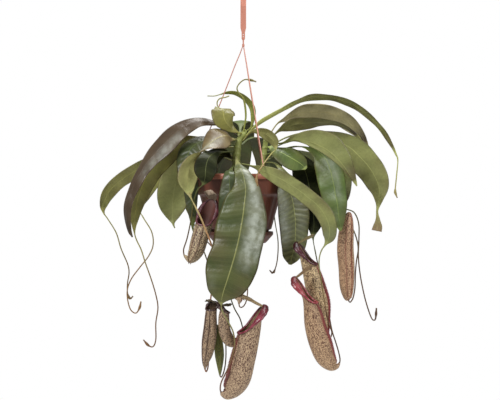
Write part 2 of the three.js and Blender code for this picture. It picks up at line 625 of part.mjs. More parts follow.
    name: 'leaf_back_middle', heading: 92,
    rows: [
      [-7.5, 51.5, -298, 3, 0], [-6, 72, -276, 4, 0], [-5, 100, -262, 16, 0], [-6, 130, -262, 26, 0],
      [-8, 158, -280, 30, 0], [-12, 178, -312, 30, 0], [-15, 189, -352, 26, 0], [-17, 193, -392, 15, 0],
      [-18, 194, -420, 3, 0], [-16, 196, -450, 1.3, 0], [-8, 192, -500, 1.3, 0], [4, 176, -560, 1.3, 0],
      [8, 160, -608, 1.3, 0], [5, 149, -634, 1.3, 0], [-2, 143, -645, 1.3, 0], [-8, 140, -645, 1.3, 0],
      [-10, 139.5, -639, 1.3, 0],
    ],
  },
  {
    name: 'leaf_back_right', heading: 62,
    rows: [
      [-5.5, 50, -314, 3, 0], [10, 78, -300, 4, 0], [24, 108, -296, 18, 0], [38, 136, -308, 27, 0],
      [50, 158, -334, 30, 0], [58, 172, -370, 28, 0], [62, 178, -410, 18, 0], [63, 179, -440, 3, 0],
      [66, 176, -470, 1.2, 0], [72, 168, -510, 1.2, 0], [70, 160, -550, 1.2, 0],
      [62, 158, -575, 1.2, 0], [54, 160, -570, 1.5, 0],
    ],
  },
  {
    name: 'leaf_back_low', heading: 112,
    rows: [
      [-13.5, 50.5, -332, 3, 0], [-26, 82, -330, 4, 0], [-38, 114, -336, 18, 0],
      [-50, 138, -356, 27, 0], [-58, 152, -390, 31, 0], [-62, 158, -430, 28, 0],
      [-64, 158, -470, 18, 0], [-64, 156, -505, 3, 0],
    ],
  },
  {
    name: 'leaf_back_outer', heading: 138,
    rows: [
      [-13, 52, -322, 3, 0], [-40, 76, -302, 4, 0], [-66, 104, -296, 17, 0], [-92, 128, -306, 25, 0],
      [-112, 144, -330, 27, 0], [-124, 152, -366, 24, 0], [-128, 154, -400, 14, 0],
      [-127, 153, -422, 3, 0], [-118, 150, -446, 1.3, 0], [-102, 145, -476, 1.3, 0],
      [-87, 140, -497, 1.3, 0], [-73, 135, -512, 1.3, 0], [-64, 134, -520, 1.3, 0],
      [-58, 134, -516, 1.3, 0],
    ],
  },
];

// Open and closed pitchers: the leaf whose tendril carries each one, the way its front faces,
// and its middle line with the radius at each point, from just above the tendril to the mouth.
const PITCHERS = [
  {
    name: 'pitcher_front', carrier: 'leaf_front',
    front: 188, rise: 56, lean: 6, wing: 5, collar: 1.3,
    lid: { length: 38, bend: 2.2, lift: 14, width: 26 },
    rows: [
      [-36, -126, -776, 6], [-28, -123, -776, 12], [-17, -122, -766, 18], [-7, -122, -749, 21],
      [0, -122, -722, 22], [7, -122, -693, 21.5], [12, -122, -669, 20.5],
    ],
  },
  {
    name: 'pitcher_right_front', carrier: 'leaf_shadow_right',
    front: -10, rise: 56, lean: 12, wing: 4, collar: 1.3,
    lid: { length: 32, bend: 2.2, lift: 13, width: 23 },
    rows: [
      [172, -106, -729, 5], [162, -109, -725, 12.5], [150, -110, -710, 17.5], [141, -110, -685, 19.5],
      [132, -110, -659, 19], [126, -110, -633, 17.5], [120, -110, -617, 16.5],
    ],
  },
  {
    name: 'pitcher_right_back', carrier: 'leaf_front_right',
    front: -12, rise: 48, lean: 8, wing: 4, collar: 1.2,
    lid: { length: 29, bend: 2.2, lift: 8, width: 22 },
    rows: [
      [156, -74, -676, 4], [151, -71, -665, 9], [146, -69, -644, 14.5], [143, -68, -616, 17.5],
      [135, -68, -590, 18.5], [128, -68, -565, 17.5], [123, -68, -548, 16],
    ],
  },
  {
    name: 'pitcher_left', carrier: 'leaf_shaded',
    front: -104, rise: 52, lean: 4, wing: 3, collar: 0.9,
    lid: { length: 32, bend: 1.8, lift: 15, width: 26 },
    rows: [
      [-102, -100, -530, 5], [-95, -104, -530, 10], [-87, -105, -518, 14], [-82, -103, -502, 15.5],
      [-77, -101, -485, 15.5], [-73, -100, -471, 15],
    ],
  },
  {
    name: 'pitcher_low_left', carrier: 'leaf_glossy_left',
    front: -120, rise: 14, lean: 3, wing: 3, collar: 0.65,
    lid: { length: 20, bend: 2, lift: 5, width: 21 },
    rows: [
      [-69, -99, -722, 6], [-66, -98, -706, 10.5], [-63, -98, -684, 13], [-60, -98, -659, 12.5],
      [-59, -98, -637, 11], [-58, -98, -626, 10.5],
    ],
  },
  {
    name: 'pitcher_low_curved', carrier: 'leaf_low_front',
    front: 0, rise: 12, lean: 3, wing: 2, collar: 0.8,
    lid: { length: 20, bend: 2, lift: 4, width: 16 },
    rows: [
      [-10, -95, -682, 5], [-18, -98, -686, 9], [-27, -103, -680, 10.5], [-34, -108, -664, 10.5],
      [-36, -111, -645, 10.5], [-35, -112, -629, 10],
    ],
  },
  {
    name: 'pitcher_back', carrier: 'leaf_back_middle',
    front: 20, rise: 34, lean: 5, wing: 4, collar: 1.1,
    lid: { length: 26, bend: 2.0, lift: 12, width: 22 },
    rows: [
      [-10, 139, -628, 6], [-20, 146, -612, 13], [-24, 150, -592, 17], [-25, 152, -568, 18],
      [-24, 153, -545, 17], [-23, 153, -528, 16.5],
    ],
  },
  {
    name: 'pitcher_slim', carrier: 'leaf_deep_green', front: -90, wing: 1.5,
    rows: [
      [-43, -81, -734, 5], [-44, -80, -713, 8.5], [-46, -80, -691, 8.5], [-48, -80, -672, 7],
      [-48, -80, -659, 4], [-48, -80, -655, 1.5],
    ],
  },
  {
    name: 'pitcher_closed_right', carrier: 'leaf_behind_right', front: -75, wing: 3,
    rows: [
      [201.5, -14.5, -611, 8], [200, -12, -590, 13.5], [199, -12, -554, 15.5], [197, -12, -519, 16],
      [199, -12, -485, 14.5], [202, -12, -461, 10], [204, -12, -449, 5], [204.5, -12, -446, 2],
    ],
  },
  {
    name: 'pitcher_closed_back', carrier: 'leaf_back_outer', front: 120, wing: 3,
    rows: [
      [-57, 134, -505, 6], [-53, 135, -493, 11], [-51, 136, -473, 14], [-51, 137, -449, 13.5],
      [-52, 138, -431, 9], [-53, 138, -422, 4], [-53, 138, -420, 1.5],
    ],
  },
];

// Three stems stand in the soil: a point and the radius at each height.
const STEMS = [
  {
    name: 'stem_main',
    rows: [
      [-14, -10, -432, 6.5], [-14, -10, -380, 6.5], [-15, -10, -364, 8], [-14.5, -10, -350, 7],
      [-13, -10, -328, 7], [-8, -9, -308, 6], [0, -7, -296, 5], [4, -6, -287, 4],
    ],
  },
  {
    name: 'stem_right',
    rows: [
      [38, 8, -432, 5.5], [38, 8, -384, 5.5], [39, 8, -360, 5.5], [41, 7, -330, 5],
      [44, 5, -305, 4.5], [46, 4, -290, 3.5],
    ],
  },
  {
    name: 'stem_back',
    rows: [
      [-12, 46, -432, 5.5], [-12, 46, -384, 5.5], [-12, 46, -350, 5.5], [-10, 46, -320, 5],
      [-8, 46, -300, 4.5], [-7, 46, -288, 3.5],
    ],
  },
];

// A ring of revolution round the pot's axis from a closed profile of radius and height.
function turned(profile) {
  const outline = profile.map(([r, z]) => new THREE.Vector2(r, z));
  if (profile[0][0] > 0) outline.push(outline[0].clone());
  const geometry = new THREE.LatheGeometry(outline, POT_SIDES);
  geometry.rotateX(Math.PI / 2);
  return geometry;
}

// The pot: a rolled lip with a skirt, a plain band, and a fluted body that narrows to a foot.
// Each strand drops through a hole in the lip and its toggle lies under it, behind the skirt.
function pot() {
  const skirtInside = RIM_RADIUS - SKIRT;
  const lipUnder = RIM_TOP - SKIRT;
  const lipBottom = RIM_TOP - RIM_DEPTH;
  const outside = [
    [0, FOOT_BOTTOM], [FOOT_RADIUS - 1, FOOT_BOTTOM], [FOOT_RADIUS + 3, BODY_BOTTOM - 4],
    [BODY_BOTTOM_RADIUS, BODY_BOTTOM],
    [(BODY_BOTTOM_RADIUS + BODY_TOP_RADIUS) / 2, (BODY_BOTTOM + BAND_BOTTOM) / 2],
    [BODY_TOP_RADIUS, BAND_BOTTOM - 1], [BAND_RADIUS - BAND_STEP, BAND_BOTTOM + 1],
    [BAND_RADIUS, lipBottom], [BAND_RADIUS, lipUnder], [skirtInside, lipUnder],
    [skirtInside, lipBottom], [RIM_RADIUS, lipBottom], [RIM_RADIUS, RIM_TOP],
  ];
  const geometry = turned([...outside, ...innerProfile(0).reverse()]);
  const p = geometry.attributes.position;
  for (let i = 0; i < p.count; i += 1) {
    const r = Math.hypot(p.getX(i), p.getY(i));
    const z = p.getZ(i);
    const onWall = r > BODY_BOTTOM_RADIUS - 0.5 && z < BAND_BOTTOM && z > BODY_BOTTOM - 1;
    const turns = Math.atan2(p.getY(i), p.getX(i)) / (2 * Math.PI);
    const flute = Math.round(turns * POT_SIDES) % 2 !== 0;
    if (onWall && flute && r > wallRadius(z) + POT_WALL / 2) {
      p.setX(i, p.getX(i) * (1 - FLUTE_DEPTH / r));
      p.setY(i, p.getY(i) * (1 - FLUTE_DEPTH / r));
    }
  }
  let solid = toSolid(geometry);
  Object.values(STRAND_ANGLES).forEach((angle) => {
    const hole = new THREE.CylinderGeometry(STRAND_HOLE_RADIUS, STRAND_HOLE_RADIUS, SKIRT * 4, 12);
    hole.rotateX(Math.PI / 2);
    const [c, s] = [Math.cos(rad(angle)), Math.sin(rad(angle))];
    hole.translate(STRAND_RING * c, STRAND_RING * s, RIM_TOP);
    solid = solid.subtract(toSolid(hole));
  });
  return fromSolid(solid).translate(POT_AXIS_X, 0, 0);
}

// The inner face of the pot's wall, moved inwards by a clearance.
function innerProfile(clearance) {
  const w = POT_WALL + clearance;
  const floor = FOOT_BOTTOM + w;
  return [
    [0, floor], [FOOT_RADIUS - 1 - w, floor],
    [FOOT_RADIUS + 3 - w, BODY_BOTTOM - 2 + clearance],
    [BODY_BOTTOM_RADIUS - w, BODY_BOTTOM + 1 + clearance],
    [BODY_TOP_RADIUS - w, BAND_BOTTOM + clearance],
    [BAND_RADIUS - BAND_STEP - w, BAND_BOTTOM + 2 + clearance],
    [BAND_RADIUS - w, RIM_TOP - RIM_DEPTH], [BAND_RADIUS - w, RIM_TOP],
  ];
}

// The radius of the body's inner face at a height.
function wallRadius(z) {
  const t = (z - BODY_BOTTOM) / (BAND_BOTTOM - BODY_BOTTOM);
  return BODY_BOTTOM_RADIUS + t * (BODY_TOP_RADIUS - BODY_BOTTOM_RADIUS) - POT_WALL;
}

// The potting soil, with a plain hole for each stem.
function soil() {
  const walls = innerProfile(GAP);
  const [edge] = walls.at(-1);
  const profile = [...walls.slice(0, -2), [edge, SOIL_TOP]];
  profile.push([edge / 2, SOIL_TOP + SOIL_MOUND], [0, SOIL_TOP + SOIL_MOUND]);
  let solid = toSolid(turned(profile).translate(POT_AXIS_X, 0, 0));
  STEMS.forEach(({ rows }) => {
    const [x, y, z, r] = rows[0];
    const depth = SOIL_TOP - z + 2 * SOIL_MOUND;
    const hole = new THREE.CylinderGeometry(r + STEM_HOLE_GAP, r + STEM_HOLE_GAP, depth, 12);
    hole.rotateX(Math.PI / 2);
    hole.translate(x, y, z - GAP + depth / 2);
    solid = solid.subtract(toSolid(hole));
  });
  return fromSolid(solid);
}

// The drip saucer under the pot's foot.
function saucer() {
  const floor = FOOT_BOTTOM - GAP;
  const bottom = floor - SAUCER_FLOOR;
  return turned([
    [0, bottom], [FOOT_RADIUS + 1, bottom], [FOOT_RADIUS + 4, bottom + 2.5],
    [SAUCER_RADIUS, SAUCER_TOP - 5.5], [SAUCER_RADIUS, SAUCER_TOP],
    [SAUCER_RADIUS - SAUCER_WALL, SAUCER_TOP], [SAUCER_RADIUS - SAUCER_WALL, SAUCER_TOP - 5],
    [FOOT_RADIUS + 2.6, floor], [0, floor],
  ]).translate(POT_AXIS_X, 0, 0);
}

// The hook and its strap, one flat moulding bent over at the top, with two small holes near
// its lower end and a hub that the strands leave.
function hook() {
  const half = HOOK_THICKNESS / 2;
  const w = STRAP_HALF_WIDTH;
  const centre = -HOOK_RADIUS * Math.cos(rad(15));
  const slab = (y, z, wide, thick, lean) => {
    const dy = thick * Math.cos(lean);
    const dz = -thick * Math.sin(lean);
    const [near, far] = [[y - dy, z - dz], [y + dy, z + dz]];
    return [[-wide, ...near], [wide, ...near], [wide, ...far], [-wide, ...far]];
  };
  const loops = [
    slab(0, STRAP_END, HUB_RADIUS, NECK_THICKNESS / 2, 0),
    slab(0, STRAP_END + 4, HUB_RADIUS, NECK_THICKNESS / 2, 0),
    slab(0, STRAP_END + 5, 1.3, NECK_THICKNESS / 2, 0),
    slab(0, NECK_TOP - 3, 1.4, NECK_THICKNESS / 2, 0),
    slab(0, NECK_TOP, 3.3, half, 0),
    slab(0, NECK_TOP + 13, 3.4, half, 0),
    slab(0, NECK_TOP + 21, w, half, 0),
    slab(0, -46, w, half, 0),
    slab(4, -34, w, half, rad(25)),
  ];
  [-32, -5, 25, 50, 75, 105, 130, 155, 180].forEach((a) => {
    loops.push(slab(
      (HOOK_RADIUS + half) * Math.cos(rad(a)),
      centre + (HOOK_RADIUS + half) * Math.sin(rad(a)),
      w, half, -rad(a),
    ));
  });
  loops.push(slab(-HOOK_RADIUS - 2, 6 - HOOK_TIP, w, half, Math.PI));
  loops.push(slab(-HOOK_RADIUS - 4.3, 0.5 - HOOK_TIP, w, half, Math.PI * 1.1));
  let solid = toSolid(loft(loops.map((loop) => loop.map((v) => new THREE.Vector3(...v)))));
  STRAP_HOLES.forEach((z) => {
    const r = STRAP_HOLE_RADIUS;
    const hole = new THREE.CylinderGeometry(r, r, 4 * HOOK_THICKNESS, 10);
    hole.translate(0, 0, z);
    solid = solid.subtract(toSolid(hole));
  });
  return fromSolid(solid);
}

// A strand from the hub down to the lip, with a toggle across its lower end.
function strand(angle) {
  const turn = rad(angle);
  const radial = new THREE.Vector3(Math.cos(turn), Math.sin(turn), 0);
  const foot = radial.clone().multiplyScalar(STRAND_RING).add(new THREE.Vector3(POT_AXIS_X, 0, 0));
  const start = radial.clone().multiplyScalar(STRAND_RADIUS + 0.35).setZ(STRAP_END - GAP);
  const straight = (t) => start.clone().lerp(foot.clone().setZ(RIM_TOP + 6), t);
  const toggleTop = RIM_TOP - SKIRT - GAP;
  const path = new THREE.CatmullRomCurve3([
    start,
    start.clone().setZ(STRAP_END - 4),
    ...[0.08, 0.3, 0.6, 0.9].map(straight),
    foot.clone().setZ(RIM_TOP + 3),
    foot.clone().setZ(RIM_TOP - 2),
    foot.clone().setZ(toggleTop - 1),
  ]);
  const round = new THREE.Shape();
  round.absarc(0, 0, STRAND_RADIUS, 0, 2 * Math.PI);
  const tube = new THREE.ExtrudeGeometry(round, { extrudePath: path, steps: 16, curveSegments: 4 });
  const toggle = new THREE.BoxGeometry(TOGGLE.thickness, TOGGLE.length, TOGGLE.thickness);
  toggle.rotateZ(turn);
  toggle.translate(foot.x, foot.y, toggleTop - TOGGLE.thickness / 2);
  return fromSolid(toSolid(tube).add(toSolid(toggle)));
}

const plant = new THREE.Group();

// Adds a piece to the plant under its name, in its colour.
function add(name, geometry, colour, roughness = 0.55) {
  const material = new THREE.MeshStandardMaterial({ color: colour, roughness, metalness: 0 });
  const mesh = new THREE.Mesh(closed(geometry), material);
  mesh.name = name;
  plant.add(mesh);
}

add('hook', hook(), COLOURS.hanger, 0.4);
Object.entries(STRAND_ANGLES).forEach(([side, angle]) => {
  add(`strand_${side}`, strand(angle), COLOURS.hanger, 0.4);
});
add('pot', pot(), COLOURS.pot, 0.5);
add('saucer', saucer(), COLOURS.pot, 0.5);
add('soil', soil(), COLOURS.soil, 0.95);
STEMS.forEach(({ name, rows }) => add(name, stem(rows), COLOURS.stem));
LEAVES.forEach((entry) => add(entry.name, leaf(entry), COLOURS[entry.colour ?? 'leafGreen']));
PITCHERS.forEach((entry) => {
  const last = LEAVES.find(({ name }) => name === entry.carrier).rows.at(-1);
  const end = new THREE.Vector3(...last);
  const first = new THREE.Vector3(...entry.rows[0]);
  const base = first.clone().sub(end).setLength(PETIOLE_GAP).add(end);
  const whole = { ...entry, rows: [[...base.toArray(), PITCHER_FOOT], ...entry.rows] };
  if (!entry.lid) {
    add(entry.name, bud(whole), entry.name === 'pitcher_slim' ? COLOURS.cupOlive : COLOURS.bud);
    return;
  }
  add(`${entry.name}_cup`, cup(whole), COLOURS.cup);
  add(`${entry.name}_collar`, collarAndLid(whole), COLOURS.rim, 0.35);
});

export default plant;
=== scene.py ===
# A tropical pitcher plant in a hanging plastic pot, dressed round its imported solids.
import math

import bpy
import numpy as np
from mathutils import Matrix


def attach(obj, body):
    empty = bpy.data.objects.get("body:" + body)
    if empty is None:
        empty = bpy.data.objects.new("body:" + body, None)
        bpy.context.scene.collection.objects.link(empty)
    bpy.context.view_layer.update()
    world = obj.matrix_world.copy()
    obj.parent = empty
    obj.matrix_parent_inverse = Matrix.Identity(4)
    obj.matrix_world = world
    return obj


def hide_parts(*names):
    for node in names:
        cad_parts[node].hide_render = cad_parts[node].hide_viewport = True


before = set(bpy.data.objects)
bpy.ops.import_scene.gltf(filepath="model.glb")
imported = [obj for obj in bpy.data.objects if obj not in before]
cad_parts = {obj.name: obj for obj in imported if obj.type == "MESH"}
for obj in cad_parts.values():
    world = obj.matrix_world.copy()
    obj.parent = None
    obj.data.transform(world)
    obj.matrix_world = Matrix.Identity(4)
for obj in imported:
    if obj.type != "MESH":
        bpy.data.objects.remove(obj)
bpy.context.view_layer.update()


# Camera and studio: the plant is seen from straight in front, at the height of the middle of
# the picture. It hangs in a white room with one broad lamp at the upper left, a weaker one at
# the right and one behind, over a pale round floor.
PICTURE_MIDDLE = (0.013, -0.4229)
CAMERA_DISTANCE = 2.0
LENS_MM = 74.2
SENSOR_MM = 36
FAR_CLIP = 20
ROOM_LIGHT = 0.3


def placed(name, data):
    """An object of the scene, at the origin."""
    thing = bpy.data.objects.new(name, data)
    bpy.context.scene.collection.objects.link(thing)
    return thing


camera = placed("camera", bpy.data.cameras.new("camera"))
camera.data.lens = LENS_MM
camera.data.sensor_width = SENSOR_MM
camera.data.clip_end = FAR_CLIP
camera.location = (PICTURE_MIDDLE[0], -CAMERA_DISTANCE, PICTURE_MIDDLE[1])
camera.rotation_euler = (math.radians(90), 0, 0)
bpy.context.scene.camera = camera


def softbox(name, place, aim_height, size, watts):
    """A square area lamp at a place, turned to face a point of the upright axis."""
    lamp = bpy.data.lights.new(name, "AREA")
    lamp.shape = "SQUARE"
    lamp.size = size
    lamp.energy = watts
    x, y, z = place
    holder = placed(name, lamp)
    holder.location = place
    tip = math.atan2(math.hypot(x, y), z - aim_height)
    holder.rotation_euler = (tip, 0, math.atan2(-y, -x) - math.pi / 2)


softbox("lamp_left", (-1.3, -1.6, 0.8), -0.4, 0.7, 36)
softbox("lamp_right", (1.7, -1.0, 0.5), -0.45, 0.8, 17)
softbox("lamp_top", (0.1, 0.2, 1.1), -0.4, 0.9, 22)

# The room is pure white to the eye, and gives the plant only part of that light.
world = bpy.data.worlds.new("white_room")
world.use_nodes = True
sky = world.node_tree.nodes
sky["Background"].inputs["Color"].default_value = (1, 1, 1, 1)
seen = sky.new("ShaderNodeLightPath")
glow = sky.new("ShaderNodeMapRange")
glow.inputs["To Min"].default_value = ROOM_LIGHT
glow.inputs["To Max"].default_value = 1.0
world.node_tree.links.new(seen.outputs["Is Camera Ray"], glow.inputs["Value"])
world.node_tree.links.new(glow.outputs["Result"], sky["Background"].inputs["Strength"])
bpy.context.scene.world = world
bpy.context.scene.view_settings.view_transform = "Standard"


# The pot: a terracotta-coloured moulding with a rolled lip over a short skirt, a plain band and
# a fluted body. Its finish is satin plastic, dusty on the ledges and a little scuffed, and the
# lip is made lighter with painted light.
POT_X = -0.006
RIM_RADIUS = 0.095
RIM_TOP = -0.374
LIP_BOTTOM = RIM_TOP - 0.010
SKIRT = 0.0016
EDGE_EASE = 0.0004
LIP_ROUNDING = 0.0012
BAND_RADIUS = 0.0892
BAND_BOTTOM = -0.413
BAND_STEP = 0.005
BODY_TOP_RADIUS = 0.0784
BODY_BOTTOM = -0.479
BODY_BOTTOM_RADIUS = 0.0605
FOOT_RADIUS = 0.048
FOOT_BOTTOM = -0.5012
POT_WALL = 0.0024
FLUTES = 20
FLUTE_DEPTH = 0.0016
FLUTE_FADE = 0.004
FLUTE_SHARPNESS = 1.8
POT_TURNS = 240
CORE = 0.0006
OUTSIDE_STEP, INSIDE_STEP, SAUCER_STEP = 0.005, 0.01, 0.004

# What a mesh attribute holds, by its name: its kind, its field, how many numbers, and the
# shader's output. An attribute that isn't named here is a plain number.
COLOUR = ("FLOAT_COLOR", "color", 4, "Color")
VECTOR = ("FLOAT_VECTOR", "vector", 3, "Vector")
NUMBER = ("FLOAT", "value", 1, "Fac")
MARKS = {"tint": COLOUR, "rib_tint": COLOUR, "mark": COLOUR, "place": VECTOR, "unrolled": VECTOR}


def linear(screen):
    """A screen colour of 0 to 255 as the linear colour that shaders take."""
    screen = np.array(screen) / 255
    return np.where(screen <= 0.04045, screen / 12.92, ((screen + 0.055) / 1.055) ** 2.4)


class Value:
    """One output of a shader node. Arithmetic on it adds the Math nodes that work it out."""

    def __init__(self, finish, link):
        self.finish = finish
        self.link = link

    def math(self, operation, *others, flip=False):
        terms = [self, *others]
        if flip:
            terms.reverse()
        return self.finish.node("ShaderNodeMath", {"operation": operation}, dict(enumerate(terms)))

    def __add__(self, other):
        return self.math("ADD", other)

    def __sub__(self, other):
        return self.math("SUBTRACT", other)

    def __rsub__(self, other):
        return self.math("SUBTRACT", other, flip=True)

    def __mul__(self, other):
        return self.math("MULTIPLY", other)

    def __pow__(self, other):
        return self.math("POWER", other)

    __radd__ = __add__
    __rmul__ = __mul__

    def band(self, low, high):
        """Rises smoothly from nought at low to one at high."""
        settings = {"interpolation_type": "SMOOTHSTEP"}
        inputs = {"Value": self, "From Min": low, "From Max": high}
        return self.finish.node("ShaderNodeMapRange", settings, inputs)

    def axis(self, number):
        """The first, second or third number of a vector, counted from nought."""
        return self.finish.node("ShaderNodeSeparateXYZ", None, {0: self}, output=number)


class Finish:
    """A material with one Principled shader, whose constants are set straight on its sockets."""

    def __init__(self, name, **constants):
        self.material = bpy.data.materials.new(name)
        self.material.use_nodes = True
        self.tree = self.material.node_tree
        self.shader = self.tree.nodes["Principled BSDF"]
        for socket, value in constants.items():
            self.shader.inputs[socket.replace("_", " ")].default_value = value

    def node(self, kind, settings=None, inputs=None, output=0):
        """Adds a node: its settings first, then the values or links of its sockets."""
        made = self.tree.nodes.new(kind)
        for key, value in (settings or {}).items():
            setattr(made, key, value)
        for key, value in (inputs or {}).items():
            if isinstance(value, Value):
                self.tree.links.new(value.link, made.inputs[key])
            else:
                made.inputs[key].default_value = value
        return Value(self, made.outputs[output])

    def attribute(self, name):
        """What the mesh attribute of that name holds."""
        output = MARKS.get(name, NUMBER)[-1]
        return self.node("ShaderNodeAttribute", {"attribute_name": name}, output=output)

    def noise(self, scale, detail=4, stretch=(1, 1, 1), roughness=0.55, where=None):
        """Noise in the object's own space, or in a given one, in grains a metre, stretched
        along the axes."""
        where = where or self.node("ShaderNodeTexCoord", output="Object")
        scaled = self.node(
            "ShaderNodeVectorMath", {"operation": "MULTIPLY"}, {0: where, 1: stretch}
        )
        inputs = {"Vector": scaled, "Scale": scale, "Detail": detail, "Roughness": roughness}
        return self.node("ShaderNodeTexNoise", None, inputs, output="Fac")

    def mix(self, base, *layers):
        """A colour with others laid over it in turn, each as far as its factor goes to one."""
        for factor, over in layers:
            both = [c if isinstance(c, Value) else (*linear(c), 1) for c in (base, over)]
            inputs = {0: factor, 6: both[0], 7: both[1]}
            base = self.node("ShaderNodeMix", {"data_type": "RGBA"}, inputs, output=2)
        return base

    def feed(self, **sockets):
        """Links worked-out values to the shader's sockets."""
        for socket, value in sockets.items():
            self.tree.links.new(value.link, self.shader.inputs[socket.replace("_", " ")])

    def bump(self, height, distance, strength=1.0):
        """Turns a height into a slightly uneven surface, in metres at a height of one."""
        inputs = {"Height": height, "Distance": distance, "Strength": strength}
        self.feed(Normal=self.node("ShaderNodeBump", None, inputs, output="Normal"))


def give(mesh, key, shape, values):
    """A point attribute from numbers, or vectors or colours, that are spread over the shape."""
    kind, field, width, _ = MARKS.get(key, NUMBER)
    full = np.ones((*shape, width), dtype=np.float32)
    full[..., :3] = values if width > 1 else np.asarray(values)[..., None]
    mesh.attributes.new(key, kind, "POINT").data.foreach_set(field, full.reshape(-1))


def add_piece(name, mesh, finish, nodes=()):
    """A piece of the scene that rides on the body root and replaces its nodes."""
    mesh.materials.append(finish.material)
    piece = placed(name, mesh)
    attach(piece, "root")
    if nodes:
        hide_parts(*nodes)


def surface(name, grid, finish, nodes=(), attributes=None, ring=False):
    """A piece from a grid of points, rows by columns by xyz in metres. Each row closes on
    itself. The rows close into a ring, or else caps close the first and the last."""
    rows, columns, _ = grid.shape
    index = np.arange(rows * columns).reshape(rows, columns)
    index = np.concatenate([index, index[:, :1]], axis=1)
    caps = [] if ring else [index[0, :0:-1].tolist(), index[-1, :-1].tolist()]
    if ring:
        index = np.concatenate([index, index[:1]])
    quads = np.stack([index[:-1, :-1], index[:-1, 1:], index[1:, 1:], index[1:, :-1]], axis=-1)
    quads = quads.reshape(-1, 4)
    mesh = bpy.data.meshes.new(name)
    mesh.from_pydata(grid.reshape(-1, 3), [], quads.tolist() + caps)
    points = grid.reshape(-1, 3) - grid.mean(axis=(0, 1))
    a, b, c, d = (points[quads[:, k]] for k in range(4))
    if (np.cross(c - a, d - b) * (a + c)).sum() < 0:
        mesh.flip_normals()
    for key, values in (attributes or {}).items():
        give(mesh, key, (rows, columns), values)
    mesh.polygons.foreach_set("use_smooth", np.ones(len(mesh.polygons), dtype=bool))
    add_piece(name, mesh, finish, nodes)


def plastic(name, base, dark, dust, lit=None):
    """Satin moulded plastic: faint flow marks, dust on what faces up, fine scuffs, and painted
    light on the lip where a colour is given for it.
    """
    finish = Finish(name, IOR=1.46)
    flow = finish.noise(9, detail=3, stretch=(1, 1, 0.35))
    scuff = finish.noise(420, detail=5, stretch=(1, 1, 0.12)).band(0.56, 0.7)
    up = finish.node("ShaderNodeNewGeometry", output="Normal").axis(2)
    dusty = up.band(0.35, 0.95) * finish.noise(60, detail=6).band(0.35, 0.65)
    shade = finish.mix(base, (flow.band(0.3, 0.75), dark), (scuff * 0.14, dust))
    if lit:
        # Painted light: the lip and all above its underside are made lighter, as where the lamp
        # falls on the rim.
        height = finish.node("ShaderNodeTexCoord", output="Object").axis(2)
        shade = finish.mix(shade, (height.band(LIP_BOTTOM - 0.001, LIP_BOTTOM) * 0.7, lit))
    finish.feed(Base_Color=finish.mix(shade, (dusty * 0.55, dust)))
    finish.feed(Roughness=0.38 + scuff * 0.2 + dusty * 0.35 + flow * 0.08)
    finish.bump(finish.noise(700, detail=3) * 0.6 + scuff * 0.4, 0.00012, 0.5)
    return finish


def around(count):
    """So many angles, evenly spread over one turn from nought."""
    return np.arange(count) * 2 * math.pi / count


def resampled(profile, step):
    """Points along a polyline of radius and height, no further apart than the step."""
    out = [profile[:1]]
    for start, end in zip(profile[:-1], profile[1:]):
        parts = max(1, math.ceil(np.linalg.norm(end - start) / step))
        out.append(start + (end - start) * (np.arange(1, parts + 1) / parts)[:, None])
    return np.concatenate(out)


def turned(profile, fluted=0):
    """A profile of radius and height carried round the pot's axis. On the first rows, so many
    as are fluted, the radius dips by a rounded wave between the band and the body's foot."""
    radius, height = profile[:, :1], profile[:, 1:]
    angle = around(POT_TURNS)
    fade = np.clip((BAND_BOTTOM - 0.001 - height) / FLUTE_FADE, 0, 1)
    fade = fade * np.clip((height - BODY_BOTTOM) / FLUTE_FADE + 0.3, 0, 1)
    wave = np.clip(np.cos(angle * FLUTES) * FLUTE_SHARPNESS, -1, 1) * 0.5 - 0.5
    r = radius + FLUTE_DEPTH * fade * wave * (np.arange(len(profile)) < fluted)[:, None]
    z = np.broadcast_to(height, r.shape)
    return np.stack([POT_X + r * np.cos(angle), r * np.sin(angle), z], axis=-1)


# The last colour is the painted light on the lip.
terracotta = plastic(
    "terracotta_plastic", (118, 66, 48), (82, 48, 38), (176, 140, 120), (178, 108, 82)
)
outer = np.array([
    (CORE, FOOT_BOTTOM), (FOOT_RADIUS - 0.001, FOOT_BOTTOM),
    (FOOT_RADIUS + 0.003, BODY_BOTTOM - 0.004), (BODY_BOTTOM_RADIUS, BODY_BOTTOM),
    (BODY_TOP_RADIUS, BAND_BOTTOM - 0.001), (BAND_RADIUS - BAND_STEP, BAND_BOTTOM + 0.001),
    (BAND_RADIUS, LIP_BOTTOM - 0.001), (BAND_RADIUS, RIM_TOP - SKIRT - EDGE_EASE),
    (RIM_RADIUS - SKIRT, RIM_TOP - SKIRT - EDGE_EASE), (RIM_RADIUS - SKIRT, LIP_BOTTOM),
    (RIM_RADIUS - EDGE_EASE, LIP_BOTTOM), (RIM_RADIUS, LIP_BOTTOM + EDGE_EASE),
    (RIM_RADIUS, RIM_TOP - LIP_ROUNDING), (RIM_RADIUS - LIP_ROUNDING, RIM_TOP),
])
inner = np.array([
    (BAND_RADIUS, RIM_TOP), (BAND_RADIUS, LIP_BOTTOM),
    (BAND_RADIUS - BAND_STEP, BAND_BOTTOM + 0.002), (BODY_TOP_RADIUS, BAND_BOTTOM),
    (BODY_BOTTOM_RADIUS, BODY_BOTTOM + 0.001), (FOOT_RADIUS, FOOT_BOTTOM + POT_WALL),
    (CORE + POT_WALL, FOOT_BOTTOM + POT_WALL),
]) - (POT_WALL, 0)
outside = resampled(outer, OUTSIDE_STEP)
outline = np.concatenate([outside, resampled(inner, INSIDE_STEP)])
surface("pot_moulding", turned(outline, len(outside)), terracotta, ["pot"])

# The drip saucer clips on under the foot: the same plastic, with a rolled rim.
SAUCER_RADIUS = 0.064
SAUCER_TOP = BODY_BOTTOM - 0.005
SAUCER_BOTTOM = FOOT_BOTTOM - 0.0048
SAUCER_FLOOR = FOOT_BOTTOM - 0.0005

